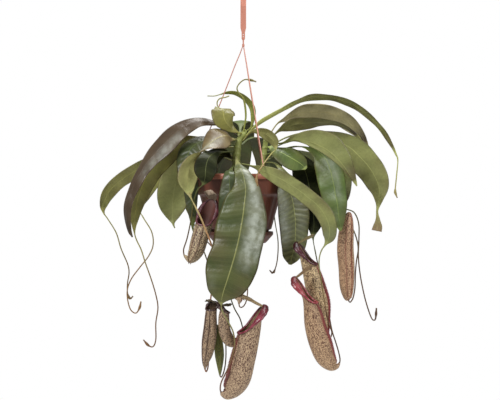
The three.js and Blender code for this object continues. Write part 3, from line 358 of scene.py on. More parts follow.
saucer_outline = resampled(np.array([
    (CORE, SAUCER_BOTTOM), (FOOT_RADIUS + 0.001, SAUCER_BOTTOM),
    (FOOT_RADIUS + 0.004, SAUCER_BOTTOM + 0.0025), (SAUCER_RADIUS - 0.001, SAUCER_TOP - 0.007),
    (SAUCER_RADIUS, SAUCER_TOP - 0.0055), (SAUCER_RADIUS, SAUCER_TOP - 0.0006),
    (SAUCER_RADIUS - 0.0006, SAUCER_TOP), (SAUCER_RADIUS - 0.0018, SAUCER_TOP),
    (SAUCER_RADIUS - 0.0024, SAUCER_TOP - 0.005), (FOOT_RADIUS + 0.0026, SAUCER_FLOOR),
    (CORE, SAUCER_FLOOR),
]), SAUCER_STEP)
surface("saucer_moulding", turned(saucer_outline), terracotta, ["saucer"])


# The potting mix: a low mound of dark crumbs, bark chips and a few white grains, with moss in
# patches. It is one lumpy skin with loose chips sunk into it.
SOIL_TOP = -0.385
SOIL_SIDE = 0.008
TUCK = 0.96
SOIL_RADIUS = BAND_RADIUS - POT_WALL - 0.0008
MOUND = 0.003
LUMP = 0.352
LUMP_WAVES = (90, 170, 330, 610)
SOIL_RINGS = 46
SOIL_TURNS = 180
SOIL_CENTRE = 0.004
CHIPS = 900
CHIP_SIZES = (0.0008, 0.0026)
CHIP_FLATNESS = 0.55
CHIP_UNEVENNESS = (0.7, 1.1)
CHIP_TILT = 0.5
CHIP_REACH = 0.94
CHIP_MOUND = 0.0032
CHIP_CLEARANCE = 0.004
FULL_TURN = 6.28
STEM_FEET = ((-0.014, -0.010, 0.0065), (0.038, 0.008, 0.0055), (-0.012, 0.046, 0.0055))

soil_mix = Finish("potting_mix", Specular_IOR_Level=0.25)
crumbs = soil_mix.noise(300, detail=8, roughness=0.7)
moss = soil_mix.noise(26, detail=5).band(0.52, 0.62)
dirt = soil_mix.node("ShaderNodeValToRGB", None, {"Fac": crumbs})
ramp = dirt.link.node.color_ramp
ramp.elements.new(0.5)
for stop, place, shade in zip(
    ramp.elements, (0.3, 0.55, 0.75), ((24, 17, 12), (60, 44, 31), (108, 84, 60))
):
    stop.position = place
    stop.color = (*linear(shade), 1)
green = soil_mix.mix((38, 52, 16), (crumbs, (96, 116, 44)))
soil_mix.feed(Base_Color=soil_mix.mix(dirt, (moss * 0.8, green)), Roughness=0.8 + crumbs * 0.2)
soil_mix.bump(crumbs, 0.0015)

rng = np.random.default_rng(7)
reach = np.linspace(SOIL_CENTRE, 1, SOIL_RINGS)[:, None] * SOIL_RADIUS
angle = around(SOIL_TURNS)[None]
px, py = POT_X + reach * np.cos(angle), reach * np.sin(angle)
lumps = sum(
    np.sin(px * k + a) * np.sin(py * k + b) * LUMP / k
    for k, a, b in zip(LUMP_WAVES, rng.uniform(0, 6, 4), rng.uniform(0, 6, 4))
)
top = SOIL_TOP + MOUND * (1 - (reach / SOIL_RADIUS) ** 2) + lumps
below = np.full_like(top[:1], SOIL_TOP - SOIL_SIDE)
skin = np.concatenate([
    np.stack([px, py, top], axis=-1),
    np.stack([POT_X + (px[-1:] - POT_X) * TUCK, py[-1:] * TUCK, below], axis=-1),
    np.stack([px[:1], py[:1], below], axis=-1),
])
surface("soil_surface", skin, soil_mix, ["soil"])

chip_mix = Finish("bark_chips", Roughness=0.85)
bark = chip_mix.mix((52, 32, 20), (chip_mix.noise(900, detail=4), (118, 82, 54)))
white = chip_mix.attribute("kind").band(0.9, 0.95)
chip_mix.feed(Base_Color=chip_mix.mix(bark, (white, (214, 208, 194))))

corner = np.array([(x, y, z) for x in (-1, 1) for y in (-1, 1) for z in (-1, 1)])
sides = [(0, 1, 3, 2), (4, 6, 7, 5), (0, 4, 5, 1), (2, 3, 7, 6), (0, 2, 6, 4), (1, 5, 7, 3)]
size = rng.uniform(*CHIP_SIZES, (CHIPS, 1, 3)) * (1, 1, CHIP_FLATNESS)
spin = rng.uniform(0, FULL_TURN, (CHIPS, 1))
tilt = rng.uniform(-CHIP_TILT, CHIP_TILT, (CHIPS, 1))
shape = corner[None] * size * rng.uniform(*CHIP_UNEVENNESS, (CHIPS, 8, 1))
turned_x = shape[..., 0] * np.cos(spin) - shape[..., 1] * np.sin(spin)
turned_y = shape[..., 0] * np.sin(spin) + shape[..., 1] * np.cos(spin)
out = np.sqrt(rng.uniform(0.0, CHIP_REACH, (CHIPS, 1))) * SOIL_RADIUS
way = rng.uniform(0, FULL_TURN, (CHIPS, 1))
chip_x, chip_y = POT_X + out * np.cos(way), out * np.sin(way)
level = SOIL_TOP + CHIP_MOUND * (1 - (out / SOIL_RADIUS) ** 2)
chip_points = np.stack([
    chip_x + turned_x, chip_y + turned_y, level + shape[..., 2] + turned_x * np.sin(tilt),
], axis=-1)
clear = [
    np.hypot(chip_x - x, chip_y - y)[:, 0] > r + CHIP_CLEARANCE for x, y, r in STEM_FEET
]
chip_points = chip_points[np.all(clear, axis=0)]
count = len(chip_points)
chips = bpy.data.meshes.new("bark_chips")
chip_faces = (np.array(sides)[None] + np.arange(count)[:, None, None] * 8).reshape(-1, 4)
chips.from_pydata(chip_points.reshape(-1, 3), [], chip_faces.tolist())
give(chips, "kind", (count, 8), rng.uniform(0, 1, count)[:, None])
add_piece("bark_chips", chips, chip_mix)


# The hanger: a flat coral-coloured moulding that is hook, strap and hub in one, and three thin
# strands that snap into the pot's lip with toggles. The solids have their true shape already.
hanger = plastic("coral_plastic", (214, 150, 130), (192, 122, 102), (236, 196, 180))
for node in ("hook", "strand_left", "strand_right_front", "strand_right_back"):
    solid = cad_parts[node]
    solid.data.materials.clear()
    solid.data.materials.append(hanger.material)


# The stems: three short shoots that rise from the soil, ringed where old leaves were, bright
# yellow-green at the main growing point and browner near the soil.
def cubic(p0, p1, p2, p3, t):
    """The uniform Catmull-Rom cubic from p1 to p2, and its slope."""
    line, bend, twist = p2 - p0, 2 * p0 - 5 * p1 + 4 * p2 - p3, 3 * p1 - p0 - 3 * p2 + p3
    slope = 0.5 * (line + 2 * bend * t + 3 * twist * t**2)
    return p1 + 0.5 * (line * t + bend * t**2 + twist * t**3), slope


def run(rows, step):
    """A smooth run through rows of numbers, in samples at most a step apart. Returns the
    numbers, their slope along the run, and the place in rows."""
    rows = np.asarray(rows, dtype=float)
    padded = np.concatenate([[2 * rows[0] - rows[1]], rows, [2 * rows[-1] - rows[-2]]])
    pieces = []
    for i in range(len(rows) - 1):
        parts = max(2, math.ceil(np.linalg.norm((rows[i + 1] - rows[i])[:3]) / step))
        t = (np.arange(parts + (i == len(rows) - 2)) / parts)[:, None]
        pieces.append((*cubic(*padded[i : i + 4], t), i + t[:, 0]))
    return [np.concatenate(part) for part in zip(*pieces)]


def unit(vectors):
    """Vectors brought to length one."""
    return vectors / np.maximum(np.linalg.norm(vectors, axis=-1, keepdims=True), 1e-9)


def smooth(x, start, end):
    """Goes smoothly from nought at the start to one at the end."""
    t = np.clip((x - start) / (end - start), 0, 1)
    return t * t * (3 - 2 * t)


def bell(x, middle, breadth):
    """One at the middle, falling off to both sides over the breadth."""
    return np.exp(-(((x - middle) / breadth) ** 2))


def blend(first, second, share):
    """From the first to the second as the share goes from nought to one."""
    return first * (1 - share) + second * share


STEMS = {
    "stem_main": [
        (-14, -10, -432, 6.5), (-14, -10, -380, 6.5), (-15, -10, -364, 8), (-14.5, -10, -350, 7),
        (-13, -10, -328, 7), (-8, -9, -308, 6), (0, -7, -296, 5), (4, -6, -287, 4),
    ],
    "stem_right": [
        (38, 8, -432, 5.5), (38, 8, -384, 5.5), (39, 8, -360, 5.5), (41, 7, -330, 5),
        (44, 5, -305, 4.5), (46, 4, -290, 3.5),
    ],
    "stem_back": [
        (-12, 46, -432, 5.5), (-12, 46, -384, 5.5), (-12, 46, -350, 5.5), (-10, 46, -320, 5),
        (-8, 46, -300, 4.5), (-7, 46, -288, 3.5),
    ],
}
STEM_STEP = 1.5
STEM_TURNS = 32
RING_SPACING = 0.013
RING_SWELL = 0.0007
RING_BREADTH = 0.12
BROWN_BELOW = -0.372
GREEN_ABOVE = -0.335

shoot = Finish("stem_skin", Roughness=0.42, IOR=1.45)
fleck = shoot.noise(240, detail=5, stretch=(1, 1, 0.3))
tint = shoot.attribute("tint")
shoot.feed(Base_Color=shoot.mix(tint, (fleck.band(0.52, 0.68) * 0.4, (124, 116, 58))))
shoot.bump(fleck, 0.0004)

for node, rows in STEMS.items():
    values, slopes, _ = run(rows, STEM_STEP)
    at, radius, along = values[:, :3] / 1000, values[:, 3] / 1000, unit(slopes[:, :3])
    side = unit(np.cross((0, 1, 0), along))
    back = np.cross(along, side)
    turn = around(STEM_TURNS)[:, None]
    spokes = side[:, None] * np.cos(turn) + back[:, None] * np.sin(turn)
    ring = np.mod(at[:, 2] - at[0, 2], RING_SPACING) / RING_SPACING
    r = radius + bell(ring, 0.5, RING_BREADTH) * RING_SWELL
    young = smooth(at[:, 2], BROWN_BELOW, GREEN_ABOVE)[:, None, None]
    tone = blend(linear((120, 112, 64)), linear((160, 168, 96)), young)
    grid = at[:, None] + spokes * r[:, None, None]
    surface(node + "_shoot", grid, shoot, [node], {"tint": tone})


# The leaves: each is one strap from its stalk through the blade to a long tendril. Rows run from
# the foot to the tendril's end: a point in millimetres, half the width there and the turn about
# the midrib in degrees.

# Colours of the upper side, the underside, the blade's tip, the midrib and the tendril's end.
LEAF_COLOURS = {
    "front": ((72, 82, 42), (131, 133, 70), (84, 86, 48), (160, 160, 98), (118, 80, 56)),
    "glossy": ((99, 77, 53), (190, 190, 118), (186, 190, 118), (190, 180, 116), (177, 119, 83)),
    "hat": ((123, 121, 59), (125, 124, 63), (117, 114, 59), (179, 173, 93), (135, 119, 63)),
    "dusky": ((72, 56, 41), (91, 72, 52), (48, 38, 28), (93, 76, 53), (57, 43, 31)),
    "pale_under": ((94, 95, 50), (153, 151, 80), (135, 133, 70), (201, 194, 106), (128, 92, 60)),
    "olive": ((143, 144, 86), (172, 171, 104), (127, 128, 76), (198, 194, 118), (146, 110, 69)),
    "pale_olive": ((126, 127, 70), (153, 151, 85), (131, 132, 74), (184, 181, 107), (118, 93, 57)),
    "deep": ((54, 67, 38), (112, 119, 64), (49, 59, 33), (116, 126, 64), (110, 80, 54)),
    "matte_olive": (
        (162, 167, 103), (170, 175, 106), (158, 163, 100), (188, 192, 122), (129, 111, 65),
    ),
    # deep_back: the underside is darkened as painted shade, for the back leaf seen in the plant's
    # shady middle.
    "deep_back": ((54, 67, 38), (58, 63, 38), (49, 59, 33), (90, 100, 54), (110, 80, 54)),
    "rib_green": ((68, 90, 43), (120, 130, 70), (64, 82, 40), (176, 192, 104), (116, 82, 56)),
    "back_green": ((90, 110, 54), (66, 74, 42), (84, 100, 50), (112, 124, 66), (110, 80, 54)),
    # shaded: near-black colours, painted shade for leaves that stand in deep shade.
    "shaded": ((17, 21, 13), (24, 28, 17), (17, 21, 13), (112, 118, 72), (104, 74, 50)),
    # arch: the midrib colour, which also colours the long stalk, is partly its own pale green and
    # partly painted light on the stalk.
    "arch": ((84, 77, 44), (126, 128, 64), (95, 81, 52), (222, 226, 136), (128, 88, 62)),
    # brown: the upper side and underside are partly their own colour and partly painted light,
    # made paler for the lamp on the leaf.
    "brown": ((214, 204, 158), (214, 204, 156), (72, 56, 46), (190, 178, 118), (77, 59, 47)),
    "brown_inner": ((84, 76, 50), (136, 134, 82), (52, 42, 32), (172, 168, 100), (57, 45, 32)),
    "twisted": ((118, 127, 76), (158, 162, 98), (150, 128, 96), (206, 210, 132), (150, 128, 96)),
    "light_under": ((110, 117, 68), (144, 150, 90), (82, 69, 43), (192, 194, 120), (82, 69, 43)),
    "green": ((93, 115, 56), (150, 159, 90), (88, 106, 52), (156, 172, 90), (116, 82, 56)),
    "pale_green": ((112, 120, 72), (148, 152, 90), (106, 113, 70), (176, 180, 110), (122, 84, 58)),
    "quilted": ((108, 112, 72), (157, 157, 97), (104, 110, 66), (168, 172, 104), (108, 76, 52)),
    "young": ((134, 143, 61), (156, 166, 74), (114, 116, 56), (167, 174, 78), (125, 113, 64)),
}
BLADE_FROM = 4.5
BLADE_FULL = 9.0
THINNEST = 0.9
MIDRIB = 0.0013
EDGE = 0.0004
LEAF_STEP = 3.0
LEAF_COLUMNS = 21
DROOP = -0.1
MARGIN_WAVE = 0.034
MARGIN_ROUNDING = 24
RIPPLE = 0.0005
WANDER = 0.015
TIP_LENGTH = 0.05
BROWNING = 0.16
PALE_FROM, PALE_TO = 0.19, 0.08
PATCH_EDGE = 0.15
BUD_LENGTH = 0.020
BUD_RADIUS = 0.0026
# Side veins, soft swells, the pillows of a quilted leaf, and the margin's waves, in radians a
# metre.
VEINS = 760
SWELLS = 150
PILLOWS = 640
LONG_WAVE, SHORT_WAVE, OUTLINE_WAVE = 62, 117, 90


def leaf_finish(name, ior, stain):
    """Leaf skin. Side veins leave the midrib and bend towards the tip, about eight millimetres
    apart, and the skin swells softly between them. Broad clouds of the stain lie over the
    green, with grey grain, pale specks and a dry margin. The hollows of a quilted leaf get
    painted shade, and patches of painted sheen, grey-white with white glints, stand in for
    reflected light."""
    skin = Finish(name, IOR=ior)
    tint, rib_tint = skin.attribute("tint"), skin.attribute("rib_tint")
    across, along, upper = (skin.attribute("place").axis(k) for k in range(3))
    blade, painted_sheen, quilt = (skin.attribute(key) for key in ("blade", "painted_sheen", "quilt"))
    far_out = across.math("ABSOLUTE")
    cloud = skin.noise(17, detail=5)
    grain = skin.noise(260, detail=6)
    speck = skin.noise(900, detail=3)
    patch = skin.noise(75, detail=5).band(0.34, 0.66)
    bent = far_out**0.8
    pillow = (along * PILLOWS - bent * 7 + cloud * 5).math("SINE")
    vein = (along * VEINS - bent * 5.5 + cloud * 3).math("SINE").band(0.86, 1.0)
    swell = (along * SWELLS - bent * 1.6 + cloud * 5).math("SINE")
    rib = 1 - far_out.band(0.006, 0.036)
    stained = cloud.band(0.36, 0.6) * (0.1 + far_out * 0.8)
    # Painted shade: the hollows between the pillows of a quilted leaf are darkened.
    painted_hollow_shade = (pillow.band(-0.6, 0.8) * -0.5 + 0.5) * quilt
    skin.feed(Base_Color=skin.mix(
        tint,
        (stained * blade * 0.6, stain),
        ((grain.band(0.35, 0.7) - 0.5) * 0.16 + 0.08, (40, 48, 28)),
        (vein * blade * 0.05, rib_tint),
        (swell.band(-1.0, 1.0) * blade * 0.1, rib_tint),
        (speck.band(0.7, 0.76) * blade * 0.25, (150, 138, 104)),
        (far_out.band(0.94, 1.0) * blade * 0.5, (104, 74, 50)),
        (painted_hollow_shade * blade * 0.7, (58, 62, 36)),
        # Painted sheen: grey-white patches and white glints of painted reflection.
        (painted_sheen * (0.1 + cloud * 0.6 + patch * 0.55), (180, 186, 172)),
        (speck.band(0.68, 0.71) * painted_sheen * 0.9, (238, 240, 236)),
        (rib * blade * 0.75, rib_tint),
    ))
    skin.feed(Roughness=0.4 - upper * blade * 0.13 + grain * 0.06 + cloud * 0.1)
    relief = swell * blade * 0.7 + rib * blade * 0.15 + cloud * 1.2 + grain * 0.04
    skin.bump(relief + pillow * quilt * 0.5, 0.0011)
    return skin


# Painted shade: leaves that stand in deep shade get a weaker shine and a darker stain, as the
# shadow on them.
leaf_skin = leaf_finish("leaf_skin", 1.45, (98, 80, 56))
painted_shade_skin = leaf_finish("painted_shade_leaf_skin", 1.18, (26, 26, 18))


def filled(rows):
    """Rows made whole: a short row keeps the last numbers of the row before it."""
    whole = [(*rows[0], 0)[:5]]
    for row in rows[1:]:
        whole.append((*row, *whole[-1][len(row):]))
    return whole


def travelled(points):
    """The way along a line of points from the first to each."""
    return np.append(0, np.cumsum(np.linalg.norm(np.diff(points, axis=0), axis=1)))


def level_across(along, heading):
    """The direction square to the run at each station that is level and to the left of the
    heading, given in degrees."""
    level = np.array([-math.sin(math.radians(heading)), math.cos(math.radians(heading)), 0])
    return unit(level - along * (along @ level)[:, None])


def two_faces(columns):
    """Places from -1 to 1 over the upper face and back under it, and 1 above and -1 below."""
    spread = np.linspace(-1, 1, columns)
    places = np.concatenate([spread, spread[-2:0:-1]])
    return places[None], np.where(np.arange(len(places)) < columns, 1.0, -1.0)[None]


def leaf(
    name, heading, finish, rows, far=1.0, bud=True, wave=1.0, foot=0.1, quilt=0.05, painted_sheen=()
):
    """Each station lies on a smooth run through the rows. The blade's side is level and square
    to the heading, then turned about the midrib. Round the section, f goes from -1 to 1 over
    the upper face and back under it; the thickness is edge + (rib - edge)(1 - |f|) squared on
    the blade and a full ellipse on stalk and tendril. The margin waves a little, and far is
    the width of its far half. A tendril that carries no pitcher ends in a bud, a sine swelling
    of its last two centimetres. The foot is paler by its share. Painted sheen, a painted
    reflection, lies in patches on the upper face: the place across, the breadth, the start,
    the end and the strength of each."""
    values, slopes, _ = run(filled(rows), LEAF_STEP)
    at, half, turn = values[:, :3] / 1000, values[:, 3], np.radians(values[:, 4])
    along = unit(slopes[:, :3])
    side = level_across(along, heading)
    up = np.cross(along, side)
    across = side * np.cos(turn)[:, None] + up * np.sin(turn)[:, None]
    face = np.cross(along, across)
    length = travelled(at)
    wide = smooth(half, BLADE_FROM, BLADE_FULL)
    last = length[wide > 0.5].max(initial=0.0)
    end = np.clip((length - length[-1]) / BUD_LENGTH + 1, 0, 1)
    swelling = BUD_RADIUS * np.sin(math.pi * end**0.8) * (bud and wide[-1] < 0.5)
    half = np.maximum(np.maximum(half, THINNEST) / 1000, swelling)

    f, upper = two_faces(LEAF_COLUMNS)
    s, w, size = length[:, None], wide[:, None], half[:, None]
    stalk = np.maximum(np.minimum(size, MIDRIB), swelling[:, None]) * np.sqrt(1 - f**2)
    thin = (EDGE + (MIDRIB - EDGE) * (1 - np.abs(f)) ** 2) * (1 - np.abs(f) ** MARGIN_ROUNDING)
    phase = np.random.default_rng(sum(map(ord, name))).uniform(0, FULL_TURN, 3)
    waves = np.sin(s * LONG_WAVE + phase[0] + f * 1.5)
    waves = waves + 0.6 * np.sin(s * SHORT_WAVE + phase[1] - f * 2)
    fold = (DROOP + MARGIN_WAVE * wave * waves) * f**2
    ripple = RIPPLE * np.sin(s * SWELLS - np.abs(f) ** 0.8 * 1.6) * (1 - np.abs(f) ** 3)
    height = w * (size * fold + ripple) + upper * blend(stalk, thin, w)
    wander = 1 + w * WANDER * np.sin(s * OUTLINE_WAVE + phase[2] + f)
    reach = size * f * np.where(f < 0, 1, far) * wander
    grid = at[:, None] + across[:, None] * reach[..., None] + face[:, None] * height[..., None]

    top, under, tip, midrib, tendril_end = map(linear, LEAF_COLOURS[finish])
    near_tip = smooth(length, last - TIP_LENGTH, last)[:, None, None]
    neck = near_tip * (length < last)[:, None, None]
    past = smooth(length, last, last + BROWNING)[:, None, None]
    pale = foot * smooth(length, PALE_FROM, PALE_TO)[:, None, None]
    bare = blend(blend(midrib * 0.75, tendril_end, past), tip * 0.8, neck)
    skin = blend(np.where(upper[..., None] > 0, top, under), tip, near_tip)
    skin = blend(bare, blend(skin, midrib * 0.8, pale), w[..., None])
    share = s / max(last, 1e-6)
    # Painted sheen: patches of painted reflection on the blade's upper face.
    painted_sheen_amount = np.zeros(grid.shape[:2])
    for middle, breadth, start, stop, strength in painted_sheen:
        window = smooth(share, start, start + PATCH_EDGE) * smooth(share, stop, stop - PATCH_EDGE)
        painted_sheen_amount += strength * window * bell(f, middle, breadth) * (upper > 0) * w
    # Leaves with the shaded colours take the painted-shade skin.
    look = painted_shade_skin if finish == "shaded" else leaf_skin
    surface(name + "_blade", grid, look, [name], {
        "tint": skin,
        "rib_tint": midrib,
        "place": np.stack(np.broadcast_arrays(f, s, upper), axis=-1),
        "blade": w,
        "painted_sheen": painted_sheen_amount,
        "quilt": quilt,
    })


leaf("leaf_front", -90, "front", [
    (-14, -18, -340, 3), (-12, -42, -348), (-9, -68, -356, 6), (-5, -92, -364, 12),
    (1, -109, -380, 17), (5, -118, -403, 27), (3, -123, -428, 38), (-1, -128, -459, 45),
    (-7, -132, -492, 46), (-13, -135, -517, 45), (-20, -138, -542, 46), (-28, -140, -567, 42),
    (-36, -140, -592, 28), (-39, -138, -610, 3), (-37, -139, -623, 1.3), (-26, -142, -643),
    (-17, -144, -662), (-15, -145, -686), (-24, -143, -720), (-38, -137, -750), (-41, -132, -764),
    (-40, -128, -772),
], bud=False, quilt=0.15,
    painted_sheen=[(0.5, 0.3, 0.1, 0.85, 0.95), (0.84, 0.1, 0.5, 0.8, 1.0),
    (-0.75, 0.3, 0.84, 1.0, 0.45)])
leaf("leaf_glossy_left", 190, "glossy", [
    (-15, -11.5, -306, 3), (-22, -30, -305, 6, -28), (-32, -42, -301, 21, -50),
    (-49, -54, -307, 27, -55), (-65, -62, -319, 18, -38), (-77, -68, -331, 8, 0),
    (-91, -72, -344, 14, 45), (-100, -76, -363, 19, 70), (-104, -78, -384, 20, 75),
    (-102, -80, -402, 12), (-97, -88, -418, 2), (-85, -114, -439, 1.7), (-75, -122, -459),
    (-68, -124, -477), (-61, -123, -494), (-52, -114, -525, 1.4), (-53, -104, -561),
    (-59, -90, -599), (-63, -80, -637), (-64, -79, -674, 1.3), (-64, -81, -711), (-65, -88, -733),
    (-68, -96, -740), (-70, -99, -735),
], bud=False, painted_sheen=[(0.2, 0.42, 0.2, 0.8, 0.45)])
leaf("leaf_upright", 190, "hat", [
    (-4.5, -11, -294.5, 2.6), (-12, -22, -292, 3, -60), (-25, -32, -284, 10, -85),
    (-35, -36, -271, 20, -88), (-38, -34, -259, 22.5), (-40, -27, -249.5, 21.5, -76),
    (-43, -18, -247.5, 13, -18), (-46, -13, -246, 2, -15), (-50, -12, -240, 1.2, -88),
    (-50, -12, -233), (-45, -12, -227), (-35, -12, -225), (-27, -12, -222),
], bud=False, wave=0)
leaf("leaf_dark_arch", 180, "dusky", [
    (-10, -3.5, -300, 3), (-33, -12, -282, 4, -20), (-60, -20, -274, 8, -45),
    (-85, -28, -273, 13, -50), (-109, -36, -282, 19, -55), (-133, -42, -300, 23),
    (-156, -46, -324, 24), (-178, -49, -349, 20, -50), (-197, -51, -379, 16, -45),
    (-215, -52, -419, 14), (-220, -53, -446, 13, -40), (-216, -54, -476, 9, -35),
    (-209, -55, -493, 2),
], painted_sheen=[(0.5, 0.42, 0.3, 0.75, 0.35)])
leaf("leaf_pale_folded", 180, "pale_under", [
    (-13.5, 45, -304, 3), (-56, 36, -306, 3, 10), (-89, 26, -301, 5, 30), (-116, 12, -309, 14, 55),
    (-138, -2, -325, 22, 60), (-160, -14, -345, 24), (-179, -22, -367), (-193, -26, -394, 22),
    (-203, -28, -425, 17), (-208, -29, -455, 10), (-208, -30, -483, 2), (-204, -30, -499, 1.2),
    (-195, -30, -518), (-187, -30, -543), (-176, -30, -574), (-167, -30, -604), (-163, -30, -629),
    (-167, -30, -658), (-167, -30, -689), (-172, -30, -703), (-181, -30, -701), (-191, -30, -690),
])
leaf("leaf_back_left", 178, "olive", [
    (-15.5, 46.5, -318, 3), (-59, 52, -317, 4, 20), (-103, 54, -317, 12, 45),
    (-134, 53, -328, 21, 55), (-162, 51, -351, 24, 60), (-183, 49, -383, 20), (-197, 46, -415, 12),
    (-205, 44, -443, 2), (-198, 44, -459, 1.2), (-182, 43, -486), (-179, 42, -512),
    (-188, 42, -534), (-205, 42, -556), (-222, 42, -579), (-230, 42, -601), (-229, 42, -623),
    (-223, 42, -641), (-213, 42, -647), (-206, 42, -637, 1.6), (-203, 42, -624),
])
leaf("leaf_far_left", 165, "pale_olive", [
    (-16, 47.5, -334, 3), (-59, 62, -335), (-108, 72, -330, 4, 10), (-158, 78, -336, 12, 30),
    (-193, 80, -349, 17, 38), (-221, 79, -365, 18, 40), (-253, 77, -387, 17), (-274, 75, -411, 15),
    (-282, 73, -433, 9), (-281, 72, -449, 2), (-273, 72, -461, 1.2), (-256, 72, -489),
    (-246, 71, -521), (-233, 70, -551), (-230, 70, -569), (-233, 70, -590), (-233, 70, -610),
    (-228, 70, -621, 1.5), (-222, 70, -616),
])
leaf("leaf_deep_green", 185, "deep", [
    (-17, -11.5, -318, 3), (-41, -20, -313, 4, -20), (-65, -28, -309, 14, -40),
    (-90, -36, -317, 22, -50), (-104, -46, -336, 23, -65), (-105, -56, -364, 20, -80),
    (-99, -62, -397, 15, -85), (-97, -62, -430, 11), (-95, -59, -455, 7), (-95, -56, -476, 2),
    (-89, -56, -495, 1.2), (-75, -60, -517), (-62, -64, -554), (-45, -68, -610), (-35, -70, -657),
    (-32, -72, -700), (-33, -74, -729), (-37, -78, -747), (-41, -81, -753), (-43, -82, -749),
], bud=False, quilt=0.25)
leaf("leaf_broad_olive", 182, "matte_olive", [
    (-17.5, 44, -347, 3), (-56, 36, -332, 3, 10), (-80, 32, -326, 4, 30), (-101, 27, -331, 11, 60),
    (-119, 24, -350, 22, 80), (-129, 21, -378, 31, 88), (-136, 18, -407, 33, 90),
    (-138, 16, -435, 27), (-138, 15, -454, 15), (-137, 14, -469, 2.5), (-134, 14, -478, 1.2),
], painted_sheen=[(-0.2, 0.3, 0.75, 1.0, 0.35)])
leaf("leaf_shaded", 215, "shaded", [
    (-19.5, -15, -330, 3), (-33, -36, -331, 3, -10), (-49, -58, -333, 8, -30),
    (-61, -80, -341, 16, -50), (-67, -94, -354, 21, -60), (-69, -101, -369), (-70, -103, -384, 13),
    (-74, -101, -395, 2), (-84, -92, -404, 1.2), (-92, -82, -427), (-97, -78, -460),
    (-104, -82, -494), (-110, -89, -514), (-109, -95, -525),
], bud=False)
leaf("leaf_low_front", -100, "deep", [
    (-17.5, -17.5, -356, 3), (-22, -40, -363), (-24, -70, -368, 5), (-25, -94, -370, 9),
    (-25, -104, -384, 14), (-23, -107, -414, 22), (-20, -109, -450, 26.5), (-22, -111, -491, 27),
    (-25, -113, -529, 20), (-26, -112, -560, 9), (-25, -110, -581, 2), (-23, -102, -601, 1.2),
    (-16, -94, -623), (-6, -88, -642), (-1, -86, -659), (0, -88, -670), (-3, -91, -675),
], bud=False)
leaf("leaf_long_arch", -5, "arch", [
    (6.5, -7, -297, 2.8), (30, -14, -275, 4.5, -50), (55, -20, -260, 5), (78, -26, -248, 6.2, -35),
    (101, -30, -235, 13, -12), (127, -33, -226, 19), (156, -35, -225, 21), (184, -36, -230),
    (213, -37, -242, 20), (239, -38, -261, 18, -14), (262, -39, -285, 15, -16),
    (279, -40, -311, 10, -18), (290, -41, -335, 4), (294, -41, -347, 1.3), (292, -41, -373, 1.2),
    (289, -41, -404), (290, -41, -411), (293, -41, -419),
], foot=0.9)
leaf("leaf_olive_brown", 8, "brown", [
    (50, 6, -298, 3), (66, 18, -274, 4, -10), (86, 28, -260, 14, -30), (110, 34, -251, 22, -38),
    (137, 37, -248, 25), (167, 39, -250, 25, -36), (193, 40, -260, 24, -34),
    (217, 42, -277, 20, -30), (235, 44, -296, 13, -25), (247, 46, -316, 3, -20),
])
leaf("leaf_brown_inner", -6, "brown_inner", [
    (49, 3.5, -309, 3), (65, -7, -292, 4, -20), (82, -11, -282, 12, -42),
    (102, -14, -276, 17, -46), (125, -17, -274, 17, -40), (147, -20, -272, 15, -25),
    (172, -24, -274, 14, -15), (195, -28, -282, 12), (214, -31, -296, 8), (225, -33, -308, 2),
])
leaf("leaf_right_twisted", 2, "twisted", [
    (47.5, 7.5, -322, 3), (81, 14, -302, 4, -10), (117, 17, -293, 8, -20),
    (154, 17, -295, 16, -30), (185, 16, -306, 24, -45), (212, 13, -323, 29, -55),
    (235, 10, -346, 30, -60), (253, 7, -370, 28), (264, 4, -398, 22), (264, 2, -423, 10, -45),
    (260, 1, -444, 4, -20), (261, 0, -460, 5, -50), (261, 0, -473, 9, -70),
    (259, 0, -483, 10, -75),
], painted_sheen=[(0.5, 0.3, 0.4, 0.75, 0.3)])
leaf("leaf_light_arch", -5, "light_under", [
    (45.5, 0, -303, 3), (71, -24, -315, 4, -20), (95, -40, -309, 10, -50),
    (115, -47, -310, 20, -65), (136, -51, -316, 29, -70), (160, -54, -329, 33, -72),
    (181, -56, -348, 26), (197, -58, -369, 16, -70), (208, -59, -387, 7, -65),
    (214, -59, -397, 1.5),
], far=0.3, foot=0.4)
leaf("leaf_green_hanging", -60, "green", [
    (45.5, 4, -335, 3), (77, -12, -325, 4), (105, -24, -320, 8), (131, -31, -325, 16),
    (152, -34, -339, 26), (165, -36, -364, 32), (171, -37, -392, 33), (177, -38, -423, 28),
    (181, -38, -450, 20), (184, -38, -469, 11), (185, -38, -482, 2),
], painted_sheen=[(0.3, 0.3, 0.4, 0.9, 0.45)])
leaf("leaf_front_right", -5, "pale_green", [
    (-9.5, -15.5, -352, 3), (5, -48, -356, 3, -10), (19, -80, -361, 4, -30),
    (35, -102, -368, 10, -50), (54, -112, -376, 15, -60), (75, -117, -387, 17, -62),
    (97, -119, -401), (117, -120, -416), (135, -120, -431, 17, -64), (150, -119, -450, 17, -68),
    (158, -118, -472, 15, -72), (158, -117, -490, 12), (151, -115, -504, 2.5),
    (143, -110, -518, 1.2), (140, -103, -539), (144, -97, -569), (150, -93, -606),
    (156, -91, -640), (161, -88, -657), (165, -85, -668), (164, -82, -677), (161, -80, -678),
], bud=False, foot=0.8)
leaf("leaf_quilted", -65, "quilted", [
    (44, 3.5, -350, 3), (59, -28, -352), (70, -54, -362, 6), (78, -67, -378, 14),
    (87, -62, -404, 25), (96, -50, -440, 32), (99, -43, -478, 31), (97, -40, -510, 27),
    (92, -39, -533, 18), (89, -39, -546, 3),
], quilt=1.0, painted_sheen=[(-0.7, 0.3, 0.05, 0.95, 0.75), (0.4, 0.4, 0.3, 0.9, 0.2)])
